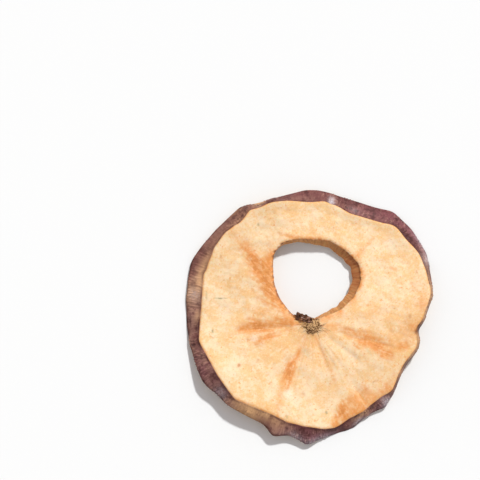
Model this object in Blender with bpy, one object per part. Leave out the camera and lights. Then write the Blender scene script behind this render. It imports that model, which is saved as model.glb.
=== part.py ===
"""A dried apple ring: one cored cross slice with its skin on, warped as it dried.

Metres, +Z up. The origin is on the surface that the slice rests on, below the middle of its
bounding box. +Y points to the side that the core hole is nearer to.
"""
import bpy
import numpy as np

MM = 0.001

# Middle of the slice and of its core hole, seen from above
SLICE_CENTRE = (0.0, 0.0)
HOLE_CENTRE = (2.1, 9.9)

# Widest outline of the slice: the corners that the rim buckled into as it shrank
RIM_CORNERS = (
    (-17.9, 28.7), (-12.7, 29.7), (-1.0, 33.1), (2.3, 33.1), (5.5, 32.4), (8.1, 31.5), (17.2, 28.7),
    (21.8, 27.7), (26.8, 22.8), (30.6, 16.6), (31.7, 9.7), (32.0, 5.3), (30.6, 1.6), (29.8, -0.6),
    (29.2, -2.1), (28.2, -3.1), (28.1, -4.4), (28.6, -6.0), (28.1, -8.3), (27.3, -9.7), (25.2, -12.1),
    (23.9, -14.4), (22.4, -18.0), (21.3, -20.7), (20.0, -22.0), (19.5, -23.5), (18.1, -23.9), (15.7, -25.0),
    (12.9, -27.1), (11.4, -28.6), (6.2, -30.3), (2.0, -31.7), (0.4, -32.8), (-1.0, -33.1),
    (-3.1, -31.6), (-5.4, -30.6), (-9.8, -31.0), (-10.8, -29.2), (-12.1, -27.8), (-16.2, -25.8),
    (-20.1, -23.7), (-22.1, -22.2), (-24.1, -19.9), (-26.4, -18.3), (-27.8, -16.7), (-29.4, -12.4),
    (-31.0, -7.2), (-31.8, -2.0), (-32.0, 4.5), (-31.3, 11.5), (-30.6, 14.7), (-28.3, 18.0),
    (-24.4, 22.6), (-21.0, 25.8),
)
RIM_ROUNDING_DEG = 1.2

# Edge of the core hole in the upper face
HOLE_CORNERS = (
    (-9.4, 12.3), (-9.3, 16.2), (-6.8, 19.0), (-2.3, 20.0), (5.4, 19.5), (9.8, 16.7), (12.9, 13.4),
    (13.3, 9.1), (11.5, 5.0), (8.1, 1.6), (3.4, -0.2), (-0.3, -1.5), (-1.6, -1.2), (-4.9, 0.8),
    (-7.8, 4.7), (-9.1, 8.4),
)
HOLE_ROUNDING_DEG = 3.5

# How far the wall of the hole slopes in from there to its lower edge, by heading in degrees
WALL_INSET = (
    (0, 2.2), (30, 2.1), (55, 1.7), (90, 1.1), (130, 0.3), (160, -0.2), (220, -0.2), (250, 0.3),
    (285, 1.1), (310, 1.6), (340, 2.1),
)
WALL_ROUNDING_DEG = 8.0

# Edge between the flesh and the sloping skin band, seen from above
FLESH_CORNERS = (
    (31.1, 3.7), (31.7, 5.1), (31.3, 7.2), (30.1, 12.4), (28.7, 16.1), (27.8, 17.4), (25.2, 20.1),
    (22.7, 23.3), (21.2, 24.1), (19.3, 24.4), (10.6, 26.9), (7.0, 29.0), (5.4, 29.3), (4.4, 30.0),
    (3.2, 30.0), (0.2, 29.7), (-5.5, 30.0), (-7.7, 29.8), (-9.5, 29.6), (-10.8, 29.2), (-12.9, 28.2),
    (-15.6, 27.6), (-17.0, 25.4), (-18.5, 24.0), (-19.4, 23.7), (-20.7, 22.5), (-21.6, 22.1),
    (-22.8, 20.7), (-23.6, 19.4), (-24.8, 17.9), (-25.5, 15.6), (-26.0, 14.7), (-26.6, 13.0),
    (-26.8, 11.8), (-27.5, 11.4), (-28.8, -6.1), (-28.4, -7.1), (-24.1, -15.1), (-21.6, -18.8),
    (-19.4, -21.6), (-9.7, -25.6), (-5.9, -27.5), (-1.8, -28.5), (3.8, -29.2), (6.0, -29.0),
    (7.8, -28.1), (10.3, -26.3), (11.6, -25.8), (13.8, -24.6), (17.2, -21.8), (18.9, -20.6),
    (20.2, -20.0), (21.5, -18.9), (22.3, -17.8), (23.1, -15.7), (24.7, -12.3), (26.0, -10.5),
    (27.6, -8.7), (28.0, -7.1), (27.9, -5.5), (27.6, -4.2), (28.1, -3.0), (29.2, -2.0), (30.4, 1.5),
)
FLESH_ROUNDING_DEG = 1.0
NARROWEST_SKIN = 0.25
SKIN_BULGE = 0.35
LOWER_EDGE_TUCK = 0.8

# Thickness at the skin, in the sunken flesh and at the hole's edge
SKIN_THICKNESS = 3.3
FLESH_THICKNESS = 2.8
HOLE_EDGE_THICKNESS = 3.0
RIM_RISE_WIDTH = 0.3
EDGE_ROUNDING = 0.4

# The slice stands on three places of its rim; the rim between them and the hole's edge are lifted
FOOT_HEADING_DEG = 50.0
FEET = 3
RIM_LIFT = ((110, 2.0), (230, 3.2), (350, 2.2))
INNER_LIFT = 1.4
FOOT_SINK = 0.35
RIM_RADIUS = 32.0
DISH_POWER = 1.6

# Buckles of the rim: waves round it, height, and heading of the first crest
BUCKLES = ((7, 0.28, 20.0), (11, 0.20, 75.0), (17, 0.12, 5.0))

# Remnant of the core on the upper face, beside the hole
TUFT_CENTRE = (0.3, -2.4)
TUFT_RADIUS = 1.9
TUFT_HEIGHT = 1.3
FLAKE_CENTRE = (-1.2, -0.2)
FLAKE_RADIUS = 1.5
FLAKE_HEIGHT = 0.6

# Creases that run out from the core remnant: heading, start and end in millimetres, and depth
CREASES = (
    (184, 4, 22, 0.40), (254, 5, 21, 0.45), (291, 4, 15, 0.30), (323, 4, 18, 0.35),
    (345, 6, 24, 0.25), (236, 9, 24, 0.20), (305, 16, 27, 0.25),
)
CREASE_HALF_WIDTH = 1.5
LOWER_CREASE_SHARE = 0.6

# Mesh: rows round the ring, and stations of the section on each of its four sides
ROWS = 192
SKIN_STATIONS = 6
UPPER_STATIONS = 12
WALL_STATIONS = 3
LOWER_STATIONS = 9

SLICE_COLOUR = (0.93, 0.67, 0.38, 1.0)
SLICE_ROUGHNESS = 0.6

FINE_STEPS = 1440
EDGE_STEPS = 60


def clear_scene():
    """Remove every object that the file holds."""
    for item in list(bpy.data.objects):
        bpy.data.objects.remove(item, do_unlink=True)


def smooth_step(value):
    """Ease from 0 to 1."""
    share = np.clip(value, 0.0, 1.0)
    return share * share * (3.0 - 2.0 * share)


def round_off(values, width_deg):
    """Smooth a closed row of values over a width given in degrees."""
    steps = len(values)
    offsets = np.minimum(np.arange(steps), steps - np.arange(steps)) * 360.0 / steps
    weights = np.exp(-0.5 * (offsets / width_deg) ** 2)
    weights /= weights.sum()
    return np.real(np.fft.ifft(np.fft.fft(values) * np.fft.fft(weights)))


def outline_reach(corners, centre, rounding_deg):
    """Distance from a centre to a closed outline, at even headings, with its corners rounded."""
    points = np.array(corners) - np.array(centre)
    share = np.linspace(0.0, 1.0, EDGE_STEPS, endpoint=False)[:, None]
    sides = [a + (b - a) * share for a, b in zip(points, np.roll(points, -1, axis=0))]
    walk = np.concatenate(sides)
    headings = np.arctan2(walk[:, 1], walk[:, 0])
    even = np.linspace(0.0, 2.0 * np.pi, FINE_STEPS, endpoint=False)
    order = np.argsort(headings)
    reach = np.interp(even, headings[order], np.hypot(walk[:, 0], walk[:, 1])[order], period=2.0 * np.pi)
    return round_off(reach, rounding_deg)


def stops_round(stops, rounding_deg):
    """Values at even headings from stops of (heading in degrees, value)."""
    headings, values = np.array(stops, dtype=float).T
    even = np.linspace(0.0, 360.0, FINE_STEPS, endpoint=False)
    return round_off(np.interp(even, headings, values, period=360.0), rounding_deg)


def at_heading(values, heading):
    """Read a closed row of values at headings in radians."""
    even = np.linspace(0.0, 2.0 * np.pi, len(values), endpoint=False)
    return np.interp(heading, even, values, period=2.0 * np.pi)


def towards(heading):
    """Unit vectors in plan at headings in radians."""
    return np.stack([np.cos(heading), np.sin(heading)], axis=-1)


def lower_height(plan):
    """Height of the lower face: three feet on the rim, lifted between them and at the hole."""
    heading = np.arctan2(plan[..., 1], plan[..., 0])
    reach = np.hypot(plan[..., 0], plan[..., 1]) / RIM_RADIUS
    between_feet = 0.5 - 0.5 * np.cos(FEET * (heading - np.radians(FOOT_HEADING_DEG)))
    lift = at_heading(stops_round(RIM_LIFT, 12.0), heading)
    outer = smooth_step((reach - 0.25) / 0.75)
    buckle = sum(
        height * np.cos(waves * heading - np.radians(crest)) for waves, height, crest in BUCKLES
    )
    rim = (lift + FOOT_SINK) * between_feet + buckle * reach ** 3 - FOOT_SINK
    return INNER_LIFT * (1.0 - outer) ** DISH_POWER + rim * outer


def crease_depth(plan):
    """Depth of the creases that run out from the core remnant."""
    offset = plan - np.array(TUFT_CENTRE)
    depth = np.zeros(plan.shape[:-1])
    for heading_deg, start, end, deepest in CREASES:
        along_axis = towards(np.radians(heading_deg))
        along = offset @ along_axis
        across = offset @ np.array([-along_axis[1], along_axis[0]])
        ends = smooth_step((along - start) / 3.0) * smooth_step((end - along) / 5.0)
        depth += deepest * ends * np.exp(-((across / CREASE_HALF_WIDTH) ** 2))
    return depth


def mound(plan, centre, radius, height):
    """Height of a round mound in the upper face."""
    distance = np.hypot(plan[..., 0] - centre[0], plan[..., 1] - centre[1])
    return height * np.exp(-((distance / radius) ** 2))


def upper_thickness(share):
    """Thickness across the upper face, from the skin (0) to the hole's edge (1)."""
    from_skin = 1.0 - smooth_step(share / RIM_RISE_WIDTH)
    from_hole = smooth_step((share - 0.7) / 0.3)
    thickness = FLESH_THICKNESS
    thickness = thickness + (SKIN_THICKNESS - FLESH_THICKNESS) * from_skin
    thickness = thickness + (HOLE_EDGE_THICKNESS - FLESH_THICKNESS) * from_hole
    rounded = np.exp(-share / 0.025) + np.exp(-(1.0 - share) / 0.03)
    return thickness - EDGE_ROUNDING * rounded


def ring_points():
    """Points of the ring as rows of section stations: up the skin, in, down the wall, out below."""
    heading = np.linspace(0.0, 2.0 * np.pi, ROWS, endpoint=False)
    out = towards(heading)
    rim_reach = at_heading(outline_reach(RIM_CORNERS, SLICE_CENTRE, RIM_ROUNDING_DEG), heading)
    hole_reach = at_heading(outline_reach(HOLE_CORNERS, HOLE_CENTRE, HOLE_ROUNDING_DEG), heading)
    flesh_reach = at_heading(outline_reach(FLESH_CORNERS, SLICE_CENTRE, FLESH_ROUNDING_DEG), heading)
    width = np.maximum(rim_reach - SKIN_BULGE - flesh_reach, NARROWEST_SKIN)[:, None]

    rim = np.array(SLICE_CENTRE) + out * (rim_reach[:, None] - SKIN_BULGE)
    skin_top = rim - out * width
    hole_top = np.array(HOLE_CENTRE) + out * hole_reach[:, None]
    inset = at_heading(stops_round(WALL_INSET, WALL_ROUNDING_DEG), heading)
    hole_low = np.array(HOLE_CENTRE) + out * (hole_reach - inset)[:, None]
    rim_low = rim - out * LOWER_EDGE_TUCK

    sections = []

    # Skin, from just above the lower edge up to the upper face
    low = lower_height(rim)
    top = lower_height(skin_top) + upper_thickness(np.zeros(ROWS))
    for step in range(SKIN_STATIONS):
        share = step / SKIN_STATIONS
        plan = rim - out * width * share ** 1.2 + out * SKIN_BULGE * np.cos((share - 0.3) * np.pi / 1.4)
        height = low + EDGE_ROUNDING + (top - low - EDGE_ROUNDING) * share ** 0.9
        sections.append((plan, height))

    # Upper face, from the skin in to the hole, with closer stations at both edges
    for step in range(UPPER_STATIONS):
        share = 0.5 - 0.5 * np.cos(np.pi * (step / (UPPER_STATIONS - 1)))
        plan = skin_top + (hole_top - skin_top) * share
        height = lower_height(plan) + upper_thickness(np.full(ROWS, share)) - crease_depth(plan)
        height += mound(plan, TUFT_CENTRE, TUFT_RADIUS, TUFT_HEIGHT)
        height += mound(plan, FLAKE_CENTRE, FLAKE_RADIUS, FLAKE_HEIGHT)
        sections.append((plan, height))

    # Wall of the hole, down to the lower face
    edge_height = sections[-1][1]
    foot_height = lower_height(hole_low) + EDGE_ROUNDING
    for step in range(1, WALL_STATIONS + 1):
        share = step / (WALL_STATIONS + 1)
        plan = hole_top + (hole_low - hole_top) * smooth_step(share)
        sections.append((plan, edge_height + (foot_height - edge_height) * share))

    # Lower face, from the hole out to the rim
    for step in range(LOWER_STATIONS):
        share = 0.5 - 0.5 * np.cos(np.pi * (step / (LOWER_STATIONS - 1)))
        plan = hole_low + (rim_low - hole_low) * share
        edge = np.exp(-share / 0.03)
        height = lower_height(plan) + EDGE_ROUNDING * edge + LOWER_CREASE_SHARE * crease_depth(plan)
        sections.append((plan, height))

    plan = np.stack([section[0] for section in sections], axis=1)
    height = np.stack([section[1] for section in sections], axis=1)
    return np.concatenate([plan, np.maximum(height, 0.0)[..., None]], axis=-1)


def stand_on_origin(points):
    """Move the points so that the middle of their box is over the origin and their feet are at 0."""
    lowest = points.reshape(-1, 3).min(axis=0)
    highest = points.reshape(-1, 3).max(axis=0)
    middle = (lowest + highest) / 2.0
    return points - np.array([middle[0], middle[1], lowest[2]])


def slice_material():
    """Pale dried flesh."""
    material = bpy.data.materials.new("dried_apple")
    material.use_nodes = True
    shader = material.node_tree.nodes["Principled BSDF"]
    shader.inputs["Base Color"].default_value = SLICE_COLOUR
    shader.inputs["Roughness"].default_value = SLICE_ROUGHNESS
    shader.inputs["Metallic"].default_value = 0.0
    return material


def make_ring(collection):
    """Make the ring from a torus whose rows take the sections of the slice."""
    points = stand_on_origin(ring_points()) * MM
    bpy.ops.mesh.primitive_torus_add(
        major_segments=ROWS,
        minor_segments=points.shape[1],
        major_radius=20 * MM,
        minor_radius=5 * MM,
    )
    ring = bpy.context.object
    ring.name = "apple_chip"
    ring.data.name = "apple_chip"
    ring.data.vertices.foreach_set("co", points.astype(np.float32).ravel())
    ring.data.shade_smooth()
    ring.data.update()
    ring.data.materials.append(slice_material())
    for holder in list(ring.users_collection):
        holder.objects.unlink(ring)
    collection.objects.link(ring)
    return ring


def main():
    """Build the slice."""
    clear_scene()
    collection = bpy.data.collections.new("apple_chip")
    bpy.context.scene.collection.children.link(collection)
    make_ring(collection)


main()
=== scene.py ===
import math

import bpy
import numpy as np
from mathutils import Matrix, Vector
from mathutils.bvhtree import BVHTree


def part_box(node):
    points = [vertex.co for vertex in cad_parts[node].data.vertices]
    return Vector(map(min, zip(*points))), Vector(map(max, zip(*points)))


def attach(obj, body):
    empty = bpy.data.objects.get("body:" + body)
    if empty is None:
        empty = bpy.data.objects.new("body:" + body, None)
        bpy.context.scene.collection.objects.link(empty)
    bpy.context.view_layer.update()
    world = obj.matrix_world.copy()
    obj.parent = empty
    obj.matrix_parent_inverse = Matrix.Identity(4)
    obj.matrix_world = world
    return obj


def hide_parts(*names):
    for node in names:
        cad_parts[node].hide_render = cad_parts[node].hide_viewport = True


bl_info = {
    "name": "Dried apple ring",
    "version": (1, 0, 0),
    "blender": (4, 5, 0),
    "location": "View3D > Sidebar > Apple ring",
    "description": "Models the flesh, peel and core remnant of one dried apple ring",
    "category": "Add Mesh",
}

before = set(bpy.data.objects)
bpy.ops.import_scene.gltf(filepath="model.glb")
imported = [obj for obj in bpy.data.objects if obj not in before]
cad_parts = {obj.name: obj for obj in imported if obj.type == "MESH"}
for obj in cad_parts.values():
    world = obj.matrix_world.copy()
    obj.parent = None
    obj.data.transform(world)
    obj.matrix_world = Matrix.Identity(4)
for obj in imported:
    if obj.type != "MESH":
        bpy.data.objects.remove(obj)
NODE = "apple_chip"
CAD_LOW, CAD_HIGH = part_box(NODE)
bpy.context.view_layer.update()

MM = 0.001

# Outlines of the slice in plan, in millimetres, as corners that are then rounded
SLICE_CENTRE = (0.0, 0.0)
HOLE_CENTRE = (2.1, 9.9)
RIM_CORNERS = (
    (-17.9, 28.7), (-12.7, 29.7), (-1.0, 33.1), (2.3, 33.1), (5.5, 32.4), (8.1, 31.5), (17.2, 28.7),
    (21.8, 27.7), (26.8, 22.8), (30.6, 16.6), (31.7, 9.7), (32.0, 5.3), (30.6, 1.6), (29.8, -0.6),
    (29.2, -2.1), (28.2, -3.1), (28.1, -4.4), (28.6, -6.0), (28.1, -8.3), (27.3, -9.7), (25.2, -12.1),
    (23.9, -14.4), (22.4, -18.0), (21.3, -20.7), (20.0, -22.0), (19.5, -23.5), (18.1, -23.9),
    (15.7, -25.0), (12.9, -27.1), (11.4, -28.6), (6.2, -30.3), (2.0, -31.7), (0.4, -32.8),
    (-1.0, -33.1), (-3.1, -31.6), (-5.4, -30.6), (-9.8, -31.0), (-10.8, -29.2), (-12.1, -27.8),
    (-16.2, -25.8), (-20.1, -23.7), (-22.1, -22.2), (-24.1, -19.9), (-26.4, -18.3), (-27.8, -16.7),
    (-29.4, -12.4), (-31.0, -7.2), (-31.8, -2.0), (-32.0, 4.5), (-31.3, 11.5), (-30.6, 14.7),
    (-28.3, 18.0), (-24.4, 22.6), (-21.0, 25.8),
)
RIM_ROUNDING_DEG = 1.2
HOLE_CORNERS = (
    (-9.4, 12.3), (-9.3, 16.2), (-6.8, 19.0), (-2.3, 20.0), (5.4, 19.5), (9.8, 16.7), (12.9, 13.4),
    (13.3, 9.1), (11.5, 5.0), (8.1, 1.6), (3.4, -0.2), (-0.3, -1.5), (-1.6, -1.2), (-4.9, 0.8),
    (-7.8, 4.7), (-9.1, 8.4),
)
HOLE_ROUNDING_DEG = 3.5
WALL_INSET = (
    (0, 2.2), (30, 2.1), (55, 1.7), (90, 1.1), (130, 0.3), (160, -0.2), (220, -0.2), (250, 0.3),
    (285, 1.1), (310, 1.6), (340, 2.1),
)
WALL_ROUNDING_DEG = 8.0
FLESH_CORNERS = (
    (31.1, 3.7), (31.7, 5.1), (31.3, 7.2), (30.1, 12.4), (28.7, 16.1), (27.8, 17.4), (25.2, 20.1),
    (22.7, 23.3), (21.2, 24.1), (19.3, 24.4), (10.6, 26.9), (7.0, 29.0), (5.4, 29.3), (4.4, 30.0),
    (3.2, 30.0), (0.2, 29.7), (-5.5, 30.0), (-7.7, 29.8), (-9.5, 29.6), (-10.8, 29.2), (-12.9, 28.2),
    (-15.6, 27.6), (-17.0, 25.4), (-18.5, 24.0), (-19.4, 23.7), (-20.7, 22.5), (-21.6, 22.1),
    (-22.8, 20.7), (-23.6, 19.4), (-24.8, 17.9), (-25.5, 15.6), (-26.0, 14.7), (-26.6, 13.0),
    (-26.8, 11.8), (-27.5, 11.4), (-28.8, -6.1), (-28.4, -7.1), (-24.1, -15.1), (-21.6, -18.8),
    (-19.4, -21.6), (-9.7, -25.6), (-5.9, -27.5), (-1.8, -28.5), (3.8, -29.2), (6.0, -29.0),
    (7.8, -28.1), (10.3, -26.3), (11.6, -25.8), (13.8, -24.6), (17.2, -21.8), (18.9, -20.6),
    (20.2, -20.0), (21.5, -18.9), (22.3, -17.8), (23.1, -15.7), (24.7, -12.3), (26.0, -10.5),
    (27.6, -8.7), (28.0, -7.1), (27.9, -5.5), (27.6, -4.2), (28.1, -3.0), (29.2, -2.0), (30.4, 1.5),
)
FLESH_ROUNDING_DEG = 1.0
NARROWEST_SKIN = 0.25
SKIN_BULGE = 0.35
LOWER_EDGE_TUCK = 0.8

# Section of the slice, by share of the way from the skin to the hole
RIM_RISE_WIDTH = 0.3
HOLE_RISE_START = 0.7
HOLE_RISE_WIDTH = 0.3
EDGE_ROUNDING = 0.4
SKIN_ROUNDING_SHARE = 0.6
SKIN_ROUNDING_REACH = 0.012
HOLE_ROUNDING_REACH = 0.03

# Profile of the skin band, by share of the way up to the flesh
SKIN_INWARD_POWER = 1.2
SKIN_CLIMB_POWER = 0.9
SKIN_BULGE_MIDDLE = 0.3
SKIN_BULGE_SPAN = 1.4

# Warp: three feet on the rim, lifted between them and at the hole, with small buckles of the rim:
# waves round it, height, heading of a crest
FOOT_HEADING_DEG = 50.0
FEET = 3
RIM_LIFT = ((110, 2.0), (230, 3.2), (350, 2.2))
LIFT_ROUNDING_DEG = 12.0
INNER_LIFT = 1.4
FOOT_SINK = 0.35
RIM_RADIUS = 32.0
DISH_START = 0.25
DISH_WIDTH = 0.75
DISH_POWER = 1.6
BUCKLES = ((7, 0.28, 20.0), (11, 0.20, 75.0), (17, 0.12, 5.0))
BUCKLE_POWER = 3

# Core remnant and the creases that run out from it: heading, start, end, depth
TUFT_CENTRE = (0.3, -2.4)
TUFT_RADIUS = 1.9
TUFT_HEIGHT = 1.3
FLAKE_CENTRE = (-1.2, -0.2)
FLAKE_RADIUS = 1.5
FLAKE_HEIGHT = 0.6
MOUND_SHARE = 0.6
CREASES = (
    (184, 4, 22, 0.40), (254, 5, 21, 0.45), (291, 4, 15, 0.30), (323, 4, 18, 0.35), (345, 6, 24, 0.25),
    (236, 9, 24, 0.20), (305, 16, 27, 0.25),
)
CREASE_HALF_WIDTH = 1.5
CREASE_START_LENGTH = 3.0
CREASE_END_LENGTH = 5.0
CREASE_LINE_HALF_WIDTH = 0.30
CREASE_LINE_SHARE = 0.30
LOWER_CREASE_SHARE = 0.6

# Browned streaks of the flesh: from x, y to x, y, half width, strength
BROWN_STREAKS = (
    (-20.0, 21.5, -17.0, 18.1, 1.2, 0.30), (-17.0, 18.1, -13.3, 12.7, 1.2, 0.55),
    (-13.3, 12.7, -9.9, 7.3, 1.6, 0.62), (-9.9, 7.3, -5.8, 1.9, 1.4, 0.60),
    (-9.9, 18.8, -9.7, 11.4, 0.8, 0.35), (-15.6, 16.4, -14.6, 14.6, 0.5, 0.45),
    (-18.0, -3.5, -13.3, -2.8, 0.9, 0.60), (-13.3, -2.8, -5.1, -1.5, 0.9, 0.50),
    (-14.6, -2.6, -12.2, -2.9, 0.8, 0.70), (-15.4, -0.6, -12.4, -2.2, 0.5, 0.40),
    (-13.9, -7.2, -10.6, -5.5, 0.7, 0.45), (-10.6, -5.5, -5.0, -3.2, 0.6, 0.35),
    (-16.0, 1.9, -11.2, 1.2, 0.9, 0.30), (-13.3, 4.6, -9.9, 2.6, 0.9, 0.30),
    (-20.0, -4.5, -17.3, -3.5, 0.7, 0.30), (-8.5, -0.4, -4.5, -1.6, 0.5, 0.40),
    (-1.2, -6.2, -2.8, -9.6, 0.7, 0.35), (-2.8, -9.6, -4.5, -12.3, 0.7, 0.45),
    (-4.7, -12.3, -6.2, -17.9, 1.15, 0.66), (-7.9, -15.0, -6.2, -13.6, 0.45, 0.45),
    (-7.6, -19.7, -8.3, -25.5, 0.8, 0.32), (1.3, -5.5, 3.6, -10.2, 0.5, 0.38),
    (3.6, -10.2, 6.3, -16.3, 0.6, 0.36), (4.3, -3.5, 9.7, -3.8, 0.8, 0.38),
    (9.7, -3.8, 13.8, -5.5, 0.9, 0.55), (13.8, -5.5, 17.8, -7.9, 1.1, 0.68),
    (17.8, -7.9, 20.5, -10.2, 1.0, 0.62), (9.7, -5.5, 13.8, -7.3, 0.5, 0.38),
    (18.6, -10.3, 20.2, -9.9, 0.55, 0.75), (11.3, -7.3, 12.6, -8.4, 0.3, 0.50),
    (6.3, -0.8, 15.1, 0.6, 1.0, 0.14), (15.1, 0.6, 23.9, 2.6, 1.2, 0.16),
    (23.6, -7.9, 25.0, -7.4, 0.9, 0.55), (11.3, 15.2, 13.6, 17.2, 0.6, 0.50),
    (13.6, 17.2, 16.2, 19.9, 0.5, 0.32), (6.3, -27.6, 9.0, -22.6, 0.9, 0.42),
    (9.0, -22.6, 13.8, -18.6, 1.2, 0.32), (8.8, -26.2, 12.6, -25.4, 1.1, 0.55),
    (6.6, -28.4, 7.8, -24.6, 0.9, 0.46), (13.0, -24.6, 19.5, -18.8, 1.3, 0.40),
    (19.5, -18.8, 22.6, -14.6, 1.1, 0.30), (-18.0, -22.0, -11.0, -25.6, 1.0, 0.30),
    (-11.0, -25.6, -5.5, -27.6, 0.8, 0.32), (-7.9, 21.5, -4.5, 20.4, 0.4, 0.55),
    (-4.5, 20.4, 3.0, 20.1, 0.45, 0.48), (-7.9, 28.0, -4.5, 26.9, 0.6, 0.20),
    (-3.0, -2.0, -7.5, -2.4, 0.5, 0.40), (-1.0, -4.6, -4.0, -7.0, 0.4, 0.28),
    (2.0, -1.6, 8.0, 0.7, 0.6, 0.40), (2.4, -2.6, 7.5, -2.2, 0.4, 0.40),
    (28.4, 8.5, 29.0, 3.0, 1.3, 0.22), (29.0, 3.0, 27.8, -4.0, 1.3, 0.30),
    (-14.9, 6.9, -14.3, 6.2, 0.35, 0.40), (10.9, 25.4, 11.3, 23.8, 0.4, 0.20),
    (21.2, 12.6, 22.2, 12.0, 0.6, 0.32), (26.2, 8.6, 26.8, 7.6, 0.5, 0.35),
    (24.3, -1.2, 27.2, -3.2, 0.7, 0.28), (20.9, 4.4, 21.6, 3.9, 0.4, 0.22),
    (-12.6, 12.2, -9.4, 7.0, 2.4, 0.45), (-9.8, 10.6, -8.4, 5.0, 1.6, 0.42),
    (-14.8, 15.4, -12.8, 12.6, 1.8, 0.35), (-15.0, -2.9, -10.6, -2.6, 1.9, 0.38),
    (-12.4, -5.4, -9.6, -4.4, 1.4, 0.30), (9.6, -24.6, 14.2, -21.2, 1.9, 0.48),
    (14.6, -5.8, 19.2, -8.4, 1.8, 0.32), (-5.2, -13.4, -5.8, -16.6, 1.1, 0.45),
    (22.0, -6.4, 25.6, -4.0, 2.2, 0.26),
)

# How much wider than listed the browned streaks are laid
BROWN_SPREAD = 1.3

# Wide faint warm areas and pale areas of the flesh: x, y, radius, strength
WARM_AREAS = (
    (25.9, -3.5, 4.6, 0.55), (23.2, -8.9, 4.2, 0.50), (28.6, 3.9, 3.2, 0.42), (13.8, -22.6, 4.4, 0.50),
    (20.5, -14.5, 3.8, 0.22), (-14.0, -18.5, 5.0, 0.16), (-11.9, 15.4, 3.2, 0.35),
    (-12.5, -3.6, 5.0, 0.38), (0.0, -4.5, 5.5, 0.42), (-7.0, -8.0, 4.0, 0.26), (14.0, -6.5, 4.0, 0.30),
    (-12.0, -24.5, 3.4, 0.34), (-18.5, 24.0, 3.0, 0.12), (-5.0, 26.0, 3.2, 0.22),
    (8.0, 24.5, 3.4, 0.16), (-19.0, 8.0, 3.4, 0.14), (19.0, 22.0, 3.0, 0.12), (-24.0, -9.5, 2.4, 0.22),
    (2.8, -18.5, 3.0, 0.16), (18.5, -1.5, 4.0, 0.26), (-21.0, 17.0, 2.6, 0.20), (26.0, 14.0, 3.2, 0.20),
    (6.0, -12.0, 3.4, 0.18),
)
# Pale areas; the one at -5.4, -19.9 is a painted highlight, and the one at -15.0, 21.0 is painted light
# on a face that slopes away from the light
PALE_AND_LIT_AREAS = (
    (10.7, -11.1, 2.6, 0.8), (-13.6, -5.2, 1.2, 1.0), (20.5, 20.0, 2.4, 0.7), (-5.4, -19.9, 1.2, 1.0),
    (-1.0, -22.5, 3.4, 0.7), (-20.0, -13.0, 4.6, 0.7), (19.0, 10.5, 4.2, 0.8), (-23.0, 3.0, 4.4, 0.5),
    (2.0, -15.0, 2.6, 0.5), (-20.5, 12.0, 2.6, 0.5), (-16.0, -9.5, 2.4, 0.6), (6.5, -20.5, 2.2, 0.6),
    (15.8, 14.4, 2.6, 0.6), (-25.5, -3.0, 2.6, 0.5), (15.0, 3.6, 2.6, 0.5), (-15.0, 21.0, 4.5, 0.7),
    (-19.5, 14.5, 2.4, 0.5), (-8.0, 24.0, 3.0, 0.4), (16.0, -13.0, 3.4, 0.5), (-5.0, 14.5, 2.0, 0.3),
)

# White dry spots, with a painted highlight at -5.2, -20.0 and -6.0, -19.2: x, y, radius, strength
CHALK_AND_HIGHLIGHT_SPOTS = (
    (-14.2, -5.6, 0.95, 0.95), (-5.2, -20.0, 0.95, 0.80), (-6.0, -19.2, 0.60, 0.50),
    (-19.6, -15.2, 0.50, 0.50), (20.8, 19.6, 0.90, 0.45), (10.7, -10.6, 1.10, 0.40),
    (-12.2, -7.2, 0.60, 0.35), (-22.0, 1.0, 0.80, 0.30),
)

# Painted shade under the core remnant's grains and its flake: x, y, radius, strength
CORE_SHADE_SPOTS = ((0.6, -2.5, 1.7, 0.80), (-1.2, -1.2, 1.2, 0.70))

# Small marks on the flesh: from x, y to x, y, half width, strength; first brown, then grey green
BROWN_MARKS = (
    (-18.2, -12.6, -18.2, -12.9, 0.36, 0.90), (-13.3, -11.3, -13.3, -11.6, 0.30, 0.45),
    (-1.9, -19.8, -1.5, -20.2, 0.35, 0.40), (16.2, -17.0, 17.4, -16.5, 0.20, 0.45),
    (-22.9, 15.6, -22.9, 15.2, 0.25, 0.45), (25.7, 0.0, 25.7, -0.4, 0.32, 0.50),
    (27.6, 11.8, 27.7, 11.2, 0.25, 0.40), (-24.8, -5.6, -25.6, -5.2, 0.20, 0.45),
    (19.2, 10.5, 19.8, 10.2, 0.20, 0.25), (2.4, 19.9, 2.8, 19.7, 0.32, 0.90),
    (-16.2, -5.9, -15.6, -6.3, 0.22, 0.40), (14.3, -18.9, 15.0, -18.6, 0.22, 0.30),
    (-9.4, -12.4, -9.0, -12.2, 0.22, 0.30), (20.6, -3.9, 21.2, -4.0, 0.30, 0.30),
)
GREEN_MARKS = (
    (-25.0, -3.6, -25.0, -4.1, 0.24, 0.80), (-13.2, 23.8, -13.2, 23.5, 0.26, 0.55),
    (4.1, -24.6, 4.3, -24.9, 0.26, 0.80), (-6.0, -25.8, -5.9, -26.1, 0.30, 0.50),
    (-24.6, 4.7, -21.2, 4.7, 0.09, 0.60), (-23.4, 4.6, -22.6, 4.6, 0.13, 0.80),
    (-26.6, 6.4, -26.6, 4.6, 0.25, 0.30), (6.9, 24.4, 7.2, 24.1, 0.22, 0.30),
)

# Painted shade as dark strokes on the flesh's edges, at the hole and at a curl of the right margin, laid
# alike
EDGE_SHADE_MARKS = (
    (-5.7, 3.9, -4.6, 1.9, 0.22, 0.80), (-4.6, 1.9, -3.0, 0.2, 0.42, 0.92),
    (-3.0, 0.2, -1.6, -1.0, 0.40, 0.60), (0.6, -1.2, 2.6, -0.7, 0.22, 0.55),
    (6.2, 0.9, 8.4, 2.2, 0.16, 0.40), (28.1, -2.8, 27.2, -4.2, 0.48, 0.95),
    (27.3, -4.2, 27.7, -6.4, 0.26, 0.60),
)

# Reach of the painted shade, a thin browned line, along the flesh's outer edge beside the peel
RIM_SHADE_WIDTH = 0.32

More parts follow.
